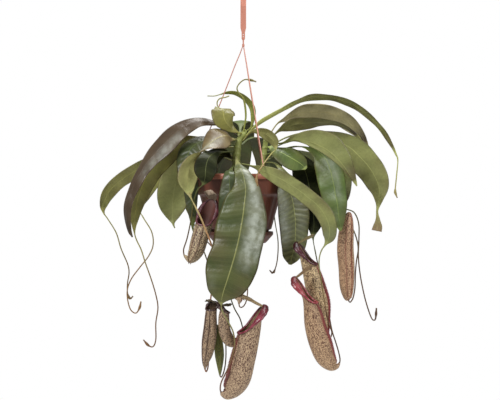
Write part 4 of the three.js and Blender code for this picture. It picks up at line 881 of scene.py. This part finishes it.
leaf("leaf_shadow_right", -20, "shaded", [
    (46, 9, -340, 3), (81, 10, -341, 3, 20), (102, 4, -341, 14, 45), (118, -4, -363, 25, 62),
    (127, -12, -396, 28, 66), (133, -17, -434, 26, 70), (136, -20, -469, 16), (134, -22, -496, 2),
    (138, -28, -522, 1.2), (144, -34, -553), (154, -38, -598), (163, -42, -641), (168, -54, -670),
    (173, -74, -688), (177, -91, -704), (179, -99, -716), (178, -103, -723),
], bud=False)
leaf("leaf_short_olive", -12, "olive", [
    (-0.5, -11, -308.5, 2.6), (13, -20, -294, 3, -20), (28, -28, -292, 8, -50),
    (45, -34, -298, 13, -60), (59, -38, -310, 12), (62, -40, -322, 5), (61, -44, -328, 1.2),
    (54, -62, -335), (45, -94, -347), (34, -119, -363), (25, -128, -381), (27, -131, -398, 1.6),
])
leaf("leaf_bright_rib", -35, "rib_green", [
    (44.5, 2, -321, 2.6), (52, -18, -321, 4, 30), (66, -33, -330, 15, 40), (85, -43, -340, 23, 45),
    (106, -48, -353, 20), (119, -53, -364, 3),
])
leaf("leaf_inner_dark", 178, "shaded", [
    (-14, 40.5, -340, 3), (-24, 24, -340, 4, 20), (-36, 10, -335, 12, 45), (-51, -6, -338, 17, 60),
    (-65, -22, -345), (-76, -36, -355, 10), (-80, -44, -363, 3),
])
leaf("leaf_behind_right", 38, "deep", [
    (45.5, 10.5, -328, 3), (86, 44, -308, 4), (123, 70, -300, 16, -10), (159, 84, -314, 25, -20),
    (181, 88, -342, 29, -30), (193, 84, -376, 27, -40), (198, 74, -413, 17), (200, 62, -437, 3),
    (204, 45, -455, 1.3), (212, 20, -474), (219, 0, -495), (222, -10, -517), (218, -14, -542),
    (216, -15, -565), (215, -16, -592), (211, -17, -612), (205, -17, -620), (203, -16, -616),
], bud=False)
leaf("leaf_far_right", 58, "deep", [
    (43, 12.5, -346, 3), (73, 52, -331, 4), (103, 104, -321, 16), (131, 138, -330, 26),
    (153, 154, -360, 30), (165, 150, -398, 24), (178, 124, -429, 10), (192, 92, -441, 2.4),
    (208, 72, -442, 1.3), (222, 60, -449), (230, 56, -471), (230, 54, -503), (229, 54, -536),
    (233, 54, -574), (241, 54, -614), (250, 54, -645), (257, 54, -661), (263, 54, -660, 1.6),
    (265, 54, -638),
], painted_sheen=[(0.0, 0.42, 0.4, 0.8, 0.2)])
leaf("shoot_spear", 180, "young", [
    (4.5, 0, -289.5, 2), (15, 6, -281, 3, 30), (19, 9, -261, 6, 50), (18, 10, -245, 7, 55),
    (10, 10, -231, 7, 50), (-3, 10, -220, 7, 40), (-18, 10, -214, 6, 35), (-34, 10, -214, 4, 30),
    (-45, 10, -217, 1, 0), (-56, 10, -220, 0.8), (-70, 10, -220),
], bud=False)
leaf("shoot_tendril", 180, "young", [
    (1, -13, -290, 2), (2, -15, -282, 2.4, 20), (5, -16, -259, 3, 30), (1, -16, -230),
    (-9, -15, -216, 1.8, 0), (-12, -15, -207, 1.2), (-7, -15, -198), (3, -15, -191),
    (15, -14, -192), (25, -13, -195, 1.3),
])
leaf("leaf_back_middle", 92, "back_green", [
    (-7.5, 51.5, -298, 3), (-6, 72, -276, 4), (-5, 100, -262, 16), (-6, 130, -262, 26),
    (-8, 158, -280, 30), (-12, 178, -312), (-15, 189, -352, 26), (-17, 193, -392, 15),
    (-18, 194, -420, 3), (-16, 196, -450, 1.3), (-8, 192, -500), (4, 176, -560), (8, 160, -608),
    (5, 149, -634), (-2, 143, -645), (-8, 140, -645), (-10, 139.5, -639),
], bud=False)
leaf("leaf_back_right", 62, "back_green", [
    (-5.5, 50, -314, 3), (10, 78, -300, 4), (24, 108, -296, 18), (38, 136, -308, 27),
    (50, 158, -334, 30), (58, 172, -370, 28), (62, 178, -410, 18), (63, 179, -440, 3),
    (66, 176, -470, 1.2), (72, 168, -510), (70, 160, -550), (62, 158, -575), (54, 160, -570, 1.5),
])
leaf("leaf_back_low", 112, "deep_back", [
    (-13.5, 50.5, -332, 3), (-26, 82, -330, 4), (-38, 114, -336, 18), (-50, 138, -356, 27),
    (-58, 152, -390, 31), (-62, 158, -430, 28), (-64, 158, -470, 18), (-64, 156, -505, 3),
])
leaf("leaf_back_outer", 138, "back_green", [
    (-13, 52, -322, 3), (-40, 76, -302, 4), (-66, 104, -296, 17), (-92, 128, -306, 25),
    (-112, 144, -330, 27), (-124, 152, -366, 24), (-128, 154, -400, 14), (-127, 153, -422, 3),
    (-118, 150, -446, 1.3), (-102, 145, -476), (-87, 140, -497), (-73, 135, -512),
    (-64, 134, -520), (-58, 134, -516),
], bud=False)


# The pitchers: leaf tips grown into flecked cups with two fringed wings, a ribbed glossy lip and
# an arched lid. Three are still closed. Rows are points up the middle with the radius there, in
# millimetres, front is the way the wings face, and lid is its length, curl, lift and width.

# Colours of the wall, its flecks, the inside, the lip, the lip's ribs, the wings and the lid.
PITCHER_COLOURS = {
    "sand": ((206, 178, 144), (86, 54, 46), (176, 150, 112), (116, 26, 46), (176, 78, 96),
             (128, 62, 58), (156, 136, 100)),
    "rosy": ((208, 174, 136), (90, 54, 42), (190, 160, 122), (144, 46, 56), (198, 106, 108),
             (142, 66, 64), (134, 112, 80)),
    "burgundy": ((234, 206, 158), (90, 64, 48), (170, 144, 104), (68, 18, 28), (118, 48, 60),
                 (146, 60, 66), (120, 112, 74)),
    "maroon": ((204, 182, 144), (80, 58, 48), (110, 62, 54), (84, 40, 48), (146, 84, 92),
               (134, 98, 80), (150, 132, 110)),
    "dusky": ((196, 168, 136), (72, 52, 44), (120, 96, 74), (64, 42, 40), (116, 84, 76),
              (92, 66, 58), (112, 102, 78)),
    "green": ((132, 140, 72), (96, 96, 54), (132, 140, 72), (120, 110, 60), (150, 140, 80),
              (124, 112, 62), (128, 136, 70)),
    "salmon": ((220, 182, 144), (104, 68, 50), (196, 150, 112), (150, 60, 62), (190, 110, 100),
               (154, 84, 70), (188, 140, 104)),
}
PITCHER_WALL = 0.0011
CUP_STEP = 1.0
CUP_FLOOR = 0.2
NARROWEST_INSIDE = 0.0045
CUP_BULGE = 0.00035
THINNEST_CUP = 1.2
NECK = 0.55
CUP_TURNS = 96
MOUTH_CURVE = 1.5
WING_ANGLE = math.radians(20)
WING_THICKNESS = 0.00028
WING_ROOT = 0.0004
WING_START = 0.06
WING_CREST = 0.09
TOOTH = 0.0025
SEAM = 0.86
LIP_RIBS = 84
LIP_OUTLINE = [
    (-1.7, 0.2), (-1.6, 1.5), (-0.4, 2.5), (1.6, 2.7), (3.6, 1.9), (4.6, 0.2), (4.2, -1.3),
    (3.3, -1.5), (3.3, 0.0), (2.2, 1.0), (0.9, 0.6),
]
LID_ROWS = 40
LID_COLUMNS = 19
LID_SAG = 0.45
LID_RIPPLE = 0.00035
LID_EDGE, LID_MIDDLE = 0.0003, 0.0005
HINGE = 1.6
HINGE_BACK = 2
HINGE_SIDES = (math.radians(160), math.radians(200))

# The flecks are small dabs that run up the wall, close together, over faint rosy clouds.
pitcher_skin = Finish("pitcher_skin", IOR=1.46)
tint, mark, unrolled, amount = map(pitcher_skin.attribute, ("tint", "mark", "unrolled", "amount"))
dabs = pitcher_skin.noise(760, detail=3, stretch=(1, 1, 0.6), where=unrolled)
dust = pitcher_skin.noise(1300, detail=3, stretch=(1, 1, 0.7), where=unrolled)
clouds = pitcher_skin.noise(42, detail=4, where=unrolled)
flecks = dabs.band(0.475, 0.53) * amount * (0.75 + clouds * 0.5)
pitcher_skin.feed(Base_Color=pitcher_skin.mix(
    tint,
    (clouds.band(0.4, 0.7) * 0.12, mark),
    (flecks.math("MINIMUM", 1.0), mark),
    (dust.band(0.52, 0.66) * amount * 0.35, mark),
))
pitcher_skin.feed(Roughness=0.44 + dust * 0.16)
pitcher_skin.bump(dabs * 0.5 + dust * 0.3 + clouds * 0.5, 0.0006)

lip_skin = Finish("lip_skin", IOR=1.5, Coat_Roughness=0.12)
tint, mark, rib = map(lip_skin.attribute, ("tint", "mark", "amount"))
blush = lip_skin.noise(120, detail=3)
lip_skin.feed(Base_Color=lip_skin.mix(tint, (rib * (0.35 + blush * 0.5), mark)))
lip_skin.feed(Roughness=0.26 + blush * 0.14, Coat_Weight=0.3 + rib * 0.3)


class Cup:
    """A pitcher's body: stations along its middle, with the radius and the axes at each."""

    def __init__(self, rows, front, rise, lean):
        values, slopes, places = run(rows, CUP_STEP)
        self.at = values[:, :3] / 1000
        self.radius = np.maximum(values[:, 3], THINNEST_CUP) / 1000
        self.u = places / (len(rows) - 1)
        self.length = travelled(self.at)
        self.along = unit(slopes[:, :3])
        self.cross = level_across(self.along, front)
        self.front = np.cross(self.cross, self.along)
        self.rise = rise / 1000
        self.lean = lean / 1000

    def points(self, turn, radius, rows=slice(None)):
        """The loop of angle a at each station: out by the radius, and near the mouth raised
        and leant to the back by the powers 1.5 and 2 of (1 - cos a) / 2."""
        at, along, cross, front = (
            part[rows][:, None] for part in (self.at, self.along, self.cross, self.front)
        )
        back = (1 - np.cos(turn)) / 2
        neck = smooth(self.u[rows], NECK, 1.0)[:, None]
        return (at
                + front * (radius * np.cos(turn) + self.lean * back**2 * neck)[..., None]
                + cross * (radius * np.sin(turn))[..., None]
                + along * (self.rise * back**MOUTH_CURVE * neck)[..., None])


def wing(name, cup, side, height, tint, mark):
    """A fringed wing: a thin fin that leaves the wall at 20 degrees from the front, with a
    tooth every two and a half millimetres, highest in the middle of the cup."""
    turn = np.full((1, 1), WING_ANGLE * side)
    teeth = np.abs(np.mod(cup.length / TOOTH, 1) - 0.5) * 2
    share = np.clip((cup.u - WING_START) / (1 - WING_START), 0.001, 0.985)
    tall = height * np.sin(math.pi * share) ** 0.45 * (0.5 + 0.5 * teeth)
    foot = cup.points(turn, cup.radius[:, None] - WING_ROOT)
    tip = cup.points(turn, (cup.radius + tall)[:, None])
    lie = cup.cross * math.cos(WING_ANGLE) - cup.front * math.sin(WING_ANGLE) * side
    thin = lie[:, None] * WING_THICKNESS
    middle = foot + (tip - foot) * 0.55
    grid = np.concatenate([
        foot - thin * 1.6, middle - thin, tip - thin * 0.4,
        tip + thin * 0.4, middle + thin, foot + thin * 1.6,
    ], axis=1)
    surface(f"{name}_wing_{'left' if side < 0 else 'right'}", grid, lip_skin,
            attributes={"tint": tint, "mark": mark, "amount": 0.25})


def pitcher(name, front, finish, rows, wing_height, rise=0, lean=0, collar=0, lid=None):
    """A cup from its foot up the outside, over the mouth and down the inside to its floor, or
    a closed one up to its point; then the wings, the lip and the lid of an open one."""
    wall, fleck, lining, lip, ribs, wings, cover = map(linear, PITCHER_COLOURS[finish])
    cup = Cup(rows, front, rise, lean)
    u, radius, length = cup.u[:, None], cup.radius[:, None], cup.length[:, None]
    turn = around(CUP_TURNS)[None]
    height = wing_height / 1000
    away = np.abs(np.mod(turn + math.pi, 2 * math.pi) - math.pi)
    crest = bell(away, WING_ANGLE, WING_CREST)
    bulge = CUP_BULGE * np.sin(turn * 3 + length * 60) * np.sin(math.pi * u)
    raised = crest * height * 0.35 * np.sin(math.pi * u)
    grid = cup.points(turn, radius + bulge + raised)
    unrolled = np.stack(np.broadcast_arrays(
        radius * np.cos(turn), radius * np.sin(turn), length), axis=-1)
    shade = blend(wall, wings, (crest * (0.6 if lid else 0.4))[..., None])
    shade = np.broadcast_to(shade, grid.shape)
    amount = 0.75 + 0.2 * smooth(u, 0.1, 0.8)
    ending, node = "_skin", name
    if lid:
        deep = np.nonzero((cup.radius > NARROWEST_INSIDE) & (cup.u > CUP_FLOOR))[0][::-1]
        inner = cup.points(turn, radius[deep] - PITCHER_WALL, deep)
        # Painted shade: the lining darkens towards the cup's floor, deeper in the cup.
        dark = np.clip(1 - (u[deep] - CUP_FLOOR) * 0.9, 0.35, 1)[..., None]
        painted_shade_lining = np.broadcast_to(lining * (1.15 - dark * 0.75), inner.shape)
        grid, shade = np.concatenate([grid, inner]), np.concatenate([shade, painted_shade_lining])
        unrolled = np.concatenate([unrolled, unrolled[deep]])
        amount = np.concatenate([amount, amount[deep] * 0.5])
        ending, node = "_wall", name + "_cup"
    else:
        seam = bell(u + 0.05 * np.cos(turn), SEAM, 0.012)[..., None]
        shade = blend(shade, fleck, seam * 0.6)
    surface(name + ending, grid, pitcher_skin, [node],
            {"tint": shade, "mark": fleck, "amount": amount, "unrolled": unrolled})
    for side in (-1, 1):
        wing(name, cup, side, height * 1.3, wings, fleck)
    if lid:
        edge = add_lip(name, cup, collar, lip, ribs)
        add_lid(name, cup, edge, collar, lid, cover, fleck)


def closed_curve(points, parts):
    """A smooth closed curve through points, with so many samples between each two."""
    p = np.asarray(points, dtype=float)
    corners = (np.roll(p, k, axis=0)[:, None] for k in (1, 0, -1, -2))
    t = (np.arange(parts) / parts)[None, :, None]
    return cubic(*corners, t)[0].reshape(-1, p.shape[1])


def add_lip(name, cup, collar, tint, mark):
    """The rolled outline carried round the mouth's edge, broader at the back, with a fine rib
    on every 1/84 of a turn. Returns the edge that it goes round."""
    turn = around(LIP_RIBS * 4)[:, None]
    edge = cup.points(turn.T, cup.radius[-1:, None], slice(-1, None))[0]
    out = cup.front[-1] * np.cos(turn) + cup.cross[-1] * np.sin(turn)
    up = unit(np.cross(out, np.roll(edge, -1, axis=0) - np.roll(edge, 1, axis=0)))
    back = (1 - np.cos(turn)) / 2
    wide = collar * (0.55 + 1.5 * smooth(back, 0.36, 0.84) - 0.5 * smooth(back, 0.86, 1.0))
    flute = 1 + 0.06 * np.sin(turn * 7 + 1) + 0.03 * np.sin(turn * 19)
    ribs = 0.5 + 0.5 * np.cos(turn * LIP_RIBS)
    a, b = closed_curve(LIP_OUTLINE, 3).T / 1000
    a = np.where(a > 0, a * wide * flute, a)
    b = b * wide**0.6 + ribs * 0.0002 * (b > 0)
    grid = edge[:, None] + out[:, None] * a[..., None] + up[:, None] * b[..., None]
    stripe = np.clip(ribs * 0.6 + 0.4 * np.sin(turn * 13), 0, 1)
    shadow = 1 - 0.6 * smooth(back, 0.72, 0.98)
    surface(name + "_lip", grid, lip_skin, [name + "_collar"], {
        "tint": tint * shadow[..., None], "mark": mark, "amount": stripe * shadow,
    }, ring=True)
    return edge


def add_lid(name, cup, edge, collar, lid, tint, mark):
    """A leaf-like flap on a short hinge at the back of the mouth's edge."""
    length, curl, lift, width = lid
    along, cross, front = cup.along[-1], cup.cross[-1], cup.front[-1]
    t = np.linspace(0, 1, LID_ROWS)[:, None]
    f, upper = two_faces(LID_COLUMNS)
    turn = around(len(edge))
    hinge = sum(edge[np.argmin(np.abs(turn - side))] for side in HINGE_SIDES) / 2
    path = np.concatenate([
        length * np.sin(curl * t) / math.sin(curl) - HINGE_BACK,
        2 * collar + lift * np.sin(math.pi * 0.9 * t),
    ], axis=1) / 1000
    way = unit(np.gradient(path, axis=0))
    middle = hinge + front * path[:, :1] + along * path[:, 1:]
    face = along * way[:, :1] - front * way[:, 1:]
    full = np.sin(math.pi * np.minimum(1, 0.06 + 0.94 * t)) ** 0.7
    half = (HINGE + (width / 2 - HINGE) * full) / 1000
    ripple = LID_RIPPLE * np.sin(t * 26 - np.abs(f) * 5) * full
    thick = upper * (LID_EDGE + LID_MIDDLE * (1 - np.abs(f)) ** 3) * (1 - np.abs(f) ** 16)
    height = ripple + thick - LID_SAG * np.abs(f) ** 1.5 * half
    grid = middle[:, None] + cross * (half * f)[..., None] + face[:, None] * height[..., None]
    place = np.stack(np.broadcast_arrays(half * f, upper * 0.002, t * length / 1000), axis=-1)
    surface(name + "_lid", grid, pitcher_skin, attributes={
        "tint": tint, "mark": mark, "amount": 0.35 + 0.25 * np.abs(f), "unrolled": place,
    })


pitcher("pitcher_front", 188, "sand", [
    (-40, -128, -772, 1.6), (-36, -126, -775.4, 6), (-28, -123, -775.4, 11.7),
    (-17, -122, -765.6, 17.8), (-7, -122, -749, 21), (0, -122, -722, 22), (7, -122, -693, 21.5),
    (12, -122, -669, 20.5),
], wing_height=5, rise=56, lean=6, collar=1.3, lid=(38, 2.2, 14, 26))
pitcher("pitcher_right_front", -10, "rosy", [
    (178, -103, -723, 1.6), (172, -106, -729, 5), (162, -109, -725, 12.5), (150, -110, -710, 17.5),
    (141, -110, -685, 19.5), (132, -110, -659, 19), (126, -110, -633, 17.5),
    (120, -110, -617, 16.5),
], wing_height=4, rise=56, lean=12, collar=1.3, lid=(32, 2.2, 13, 23))
pitcher("pitcher_right_back", -12, "burgundy", [
    (161, -80, -678, 1.6), (156, -74, -676, 4), (151, -71, -665, 9), (146, -69, -644, 14.5),
    (143, -68, -616, 17.5), (135, -68, -590, 18.5), (128, -68, -565, 17.5), (123, -68, -548, 16),
], wing_height=4, rise=48, lean=8, collar=1.2, lid=(29, 2.2, 8, 22))
pitcher("pitcher_left", -104, "maroon", [
    (-109, -95, -525, 1.6), (-102, -100, -530, 5), (-95, -104, -530, 10), (-87, -105, -518, 14),
    (-82, -103, -502, 15.5), (-77, -101, -485, 15.5), (-73, -100, -471, 15),
], wing_height=3, rise=52, lean=4, collar=0.9, lid=(32, 1.8, 15, 26))
pitcher("pitcher_low_left", -120, "dusky", [
    (-70, -99, -735, 1.6), (-69, -99, -722, 6), (-66, -98, -706, 10.5), (-63, -98, -684, 13),
    (-60, -98, -659, 12.5), (-59, -98, -637, 11), (-58, -98, -626, 10.5),
], wing_height=3, rise=14, lean=3, collar=0.65, lid=(20, 2, 5, 21))
pitcher("pitcher_low_curved", 0, "dusky", [
    (-3, -91, -675, 1.6), (-10, -95, -682, 5), (-18, -98, -686, 9), (-27, -103, -680, 10.5),
    (-34, -108, -664, 10.5), (-36, -111, -645, 10.5), (-35, -112, -629, 10),
], wing_height=2, rise=12, lean=3, collar=0.8, lid=(20, 2, 4, 16))
pitcher("pitcher_back", 20, "sand", [
    (-10, 139.5, -639, 1.6), (-10, 139, -628, 6), (-20, 146, -612, 13), (-24, 150, -592, 17),
    (-25, 152, -568, 18), (-24, 153, -545, 17), (-23, 153, -528, 16.5),
], wing_height=4, rise=34, lean=5, collar=1.1, lid=(26, 2, 12, 22))
pitcher("pitcher_slim", -90, "green", [
    (-43, -82, -749, 1.6), (-43, -81, -734, 5), (-44, -80, -713, 8.5), (-46, -80, -691, 8.5),
    (-48, -80, -672, 7), (-48, -80, -659, 4), (-48, -80, -655, 1.5),
], wing_height=1.5)
pitcher("pitcher_closed_right", -75, "salmon", [
    (203, -16, -616, 1.6), (201.5, -14.5, -611, 8), (200, -12, -590, 13.5), (199, -12, -554, 15.5),
    (197, -12, -519, 16), (199, -12, -485, 14.5), (202, -12, -461, 10), (204, -12, -449, 5),
    (204.5, -12, -446, 2),
], wing_height=3)
pitcher("pitcher_closed_back", 120, "salmon", [
    (-58, 134, -515.6, 1.6), (-57, 134, -505, 6), (-53, 135, -493, 11), (-51, 136, -473, 14),
    (-51, 137, -449, 13.5), (-52, 138, -431, 9), (-53, 138, -422, 4), (-53, 138, -420, 1.5),
], wing_height=3)


# The floor is a plain pale disc, well below the plant and out of the front view.
FLOOR_RADIUS, FLOOR_DEPTH, FLOOR_HEIGHT = 1.5, 0.02, -1.25

bpy.ops.mesh.primitive_cylinder_add(
    vertices=96, radius=FLOOR_RADIUS, depth=FLOOR_DEPTH, location=(0, 0, FLOOR_HEIGHT)
)
floor = bpy.context.object
floor.name = "floor"
pale = Finish("pale_floor", Roughness=0.9, Base_Color=(0.82, 0.82, 0.81, 1))
floor.data.materials.append(pale.material)
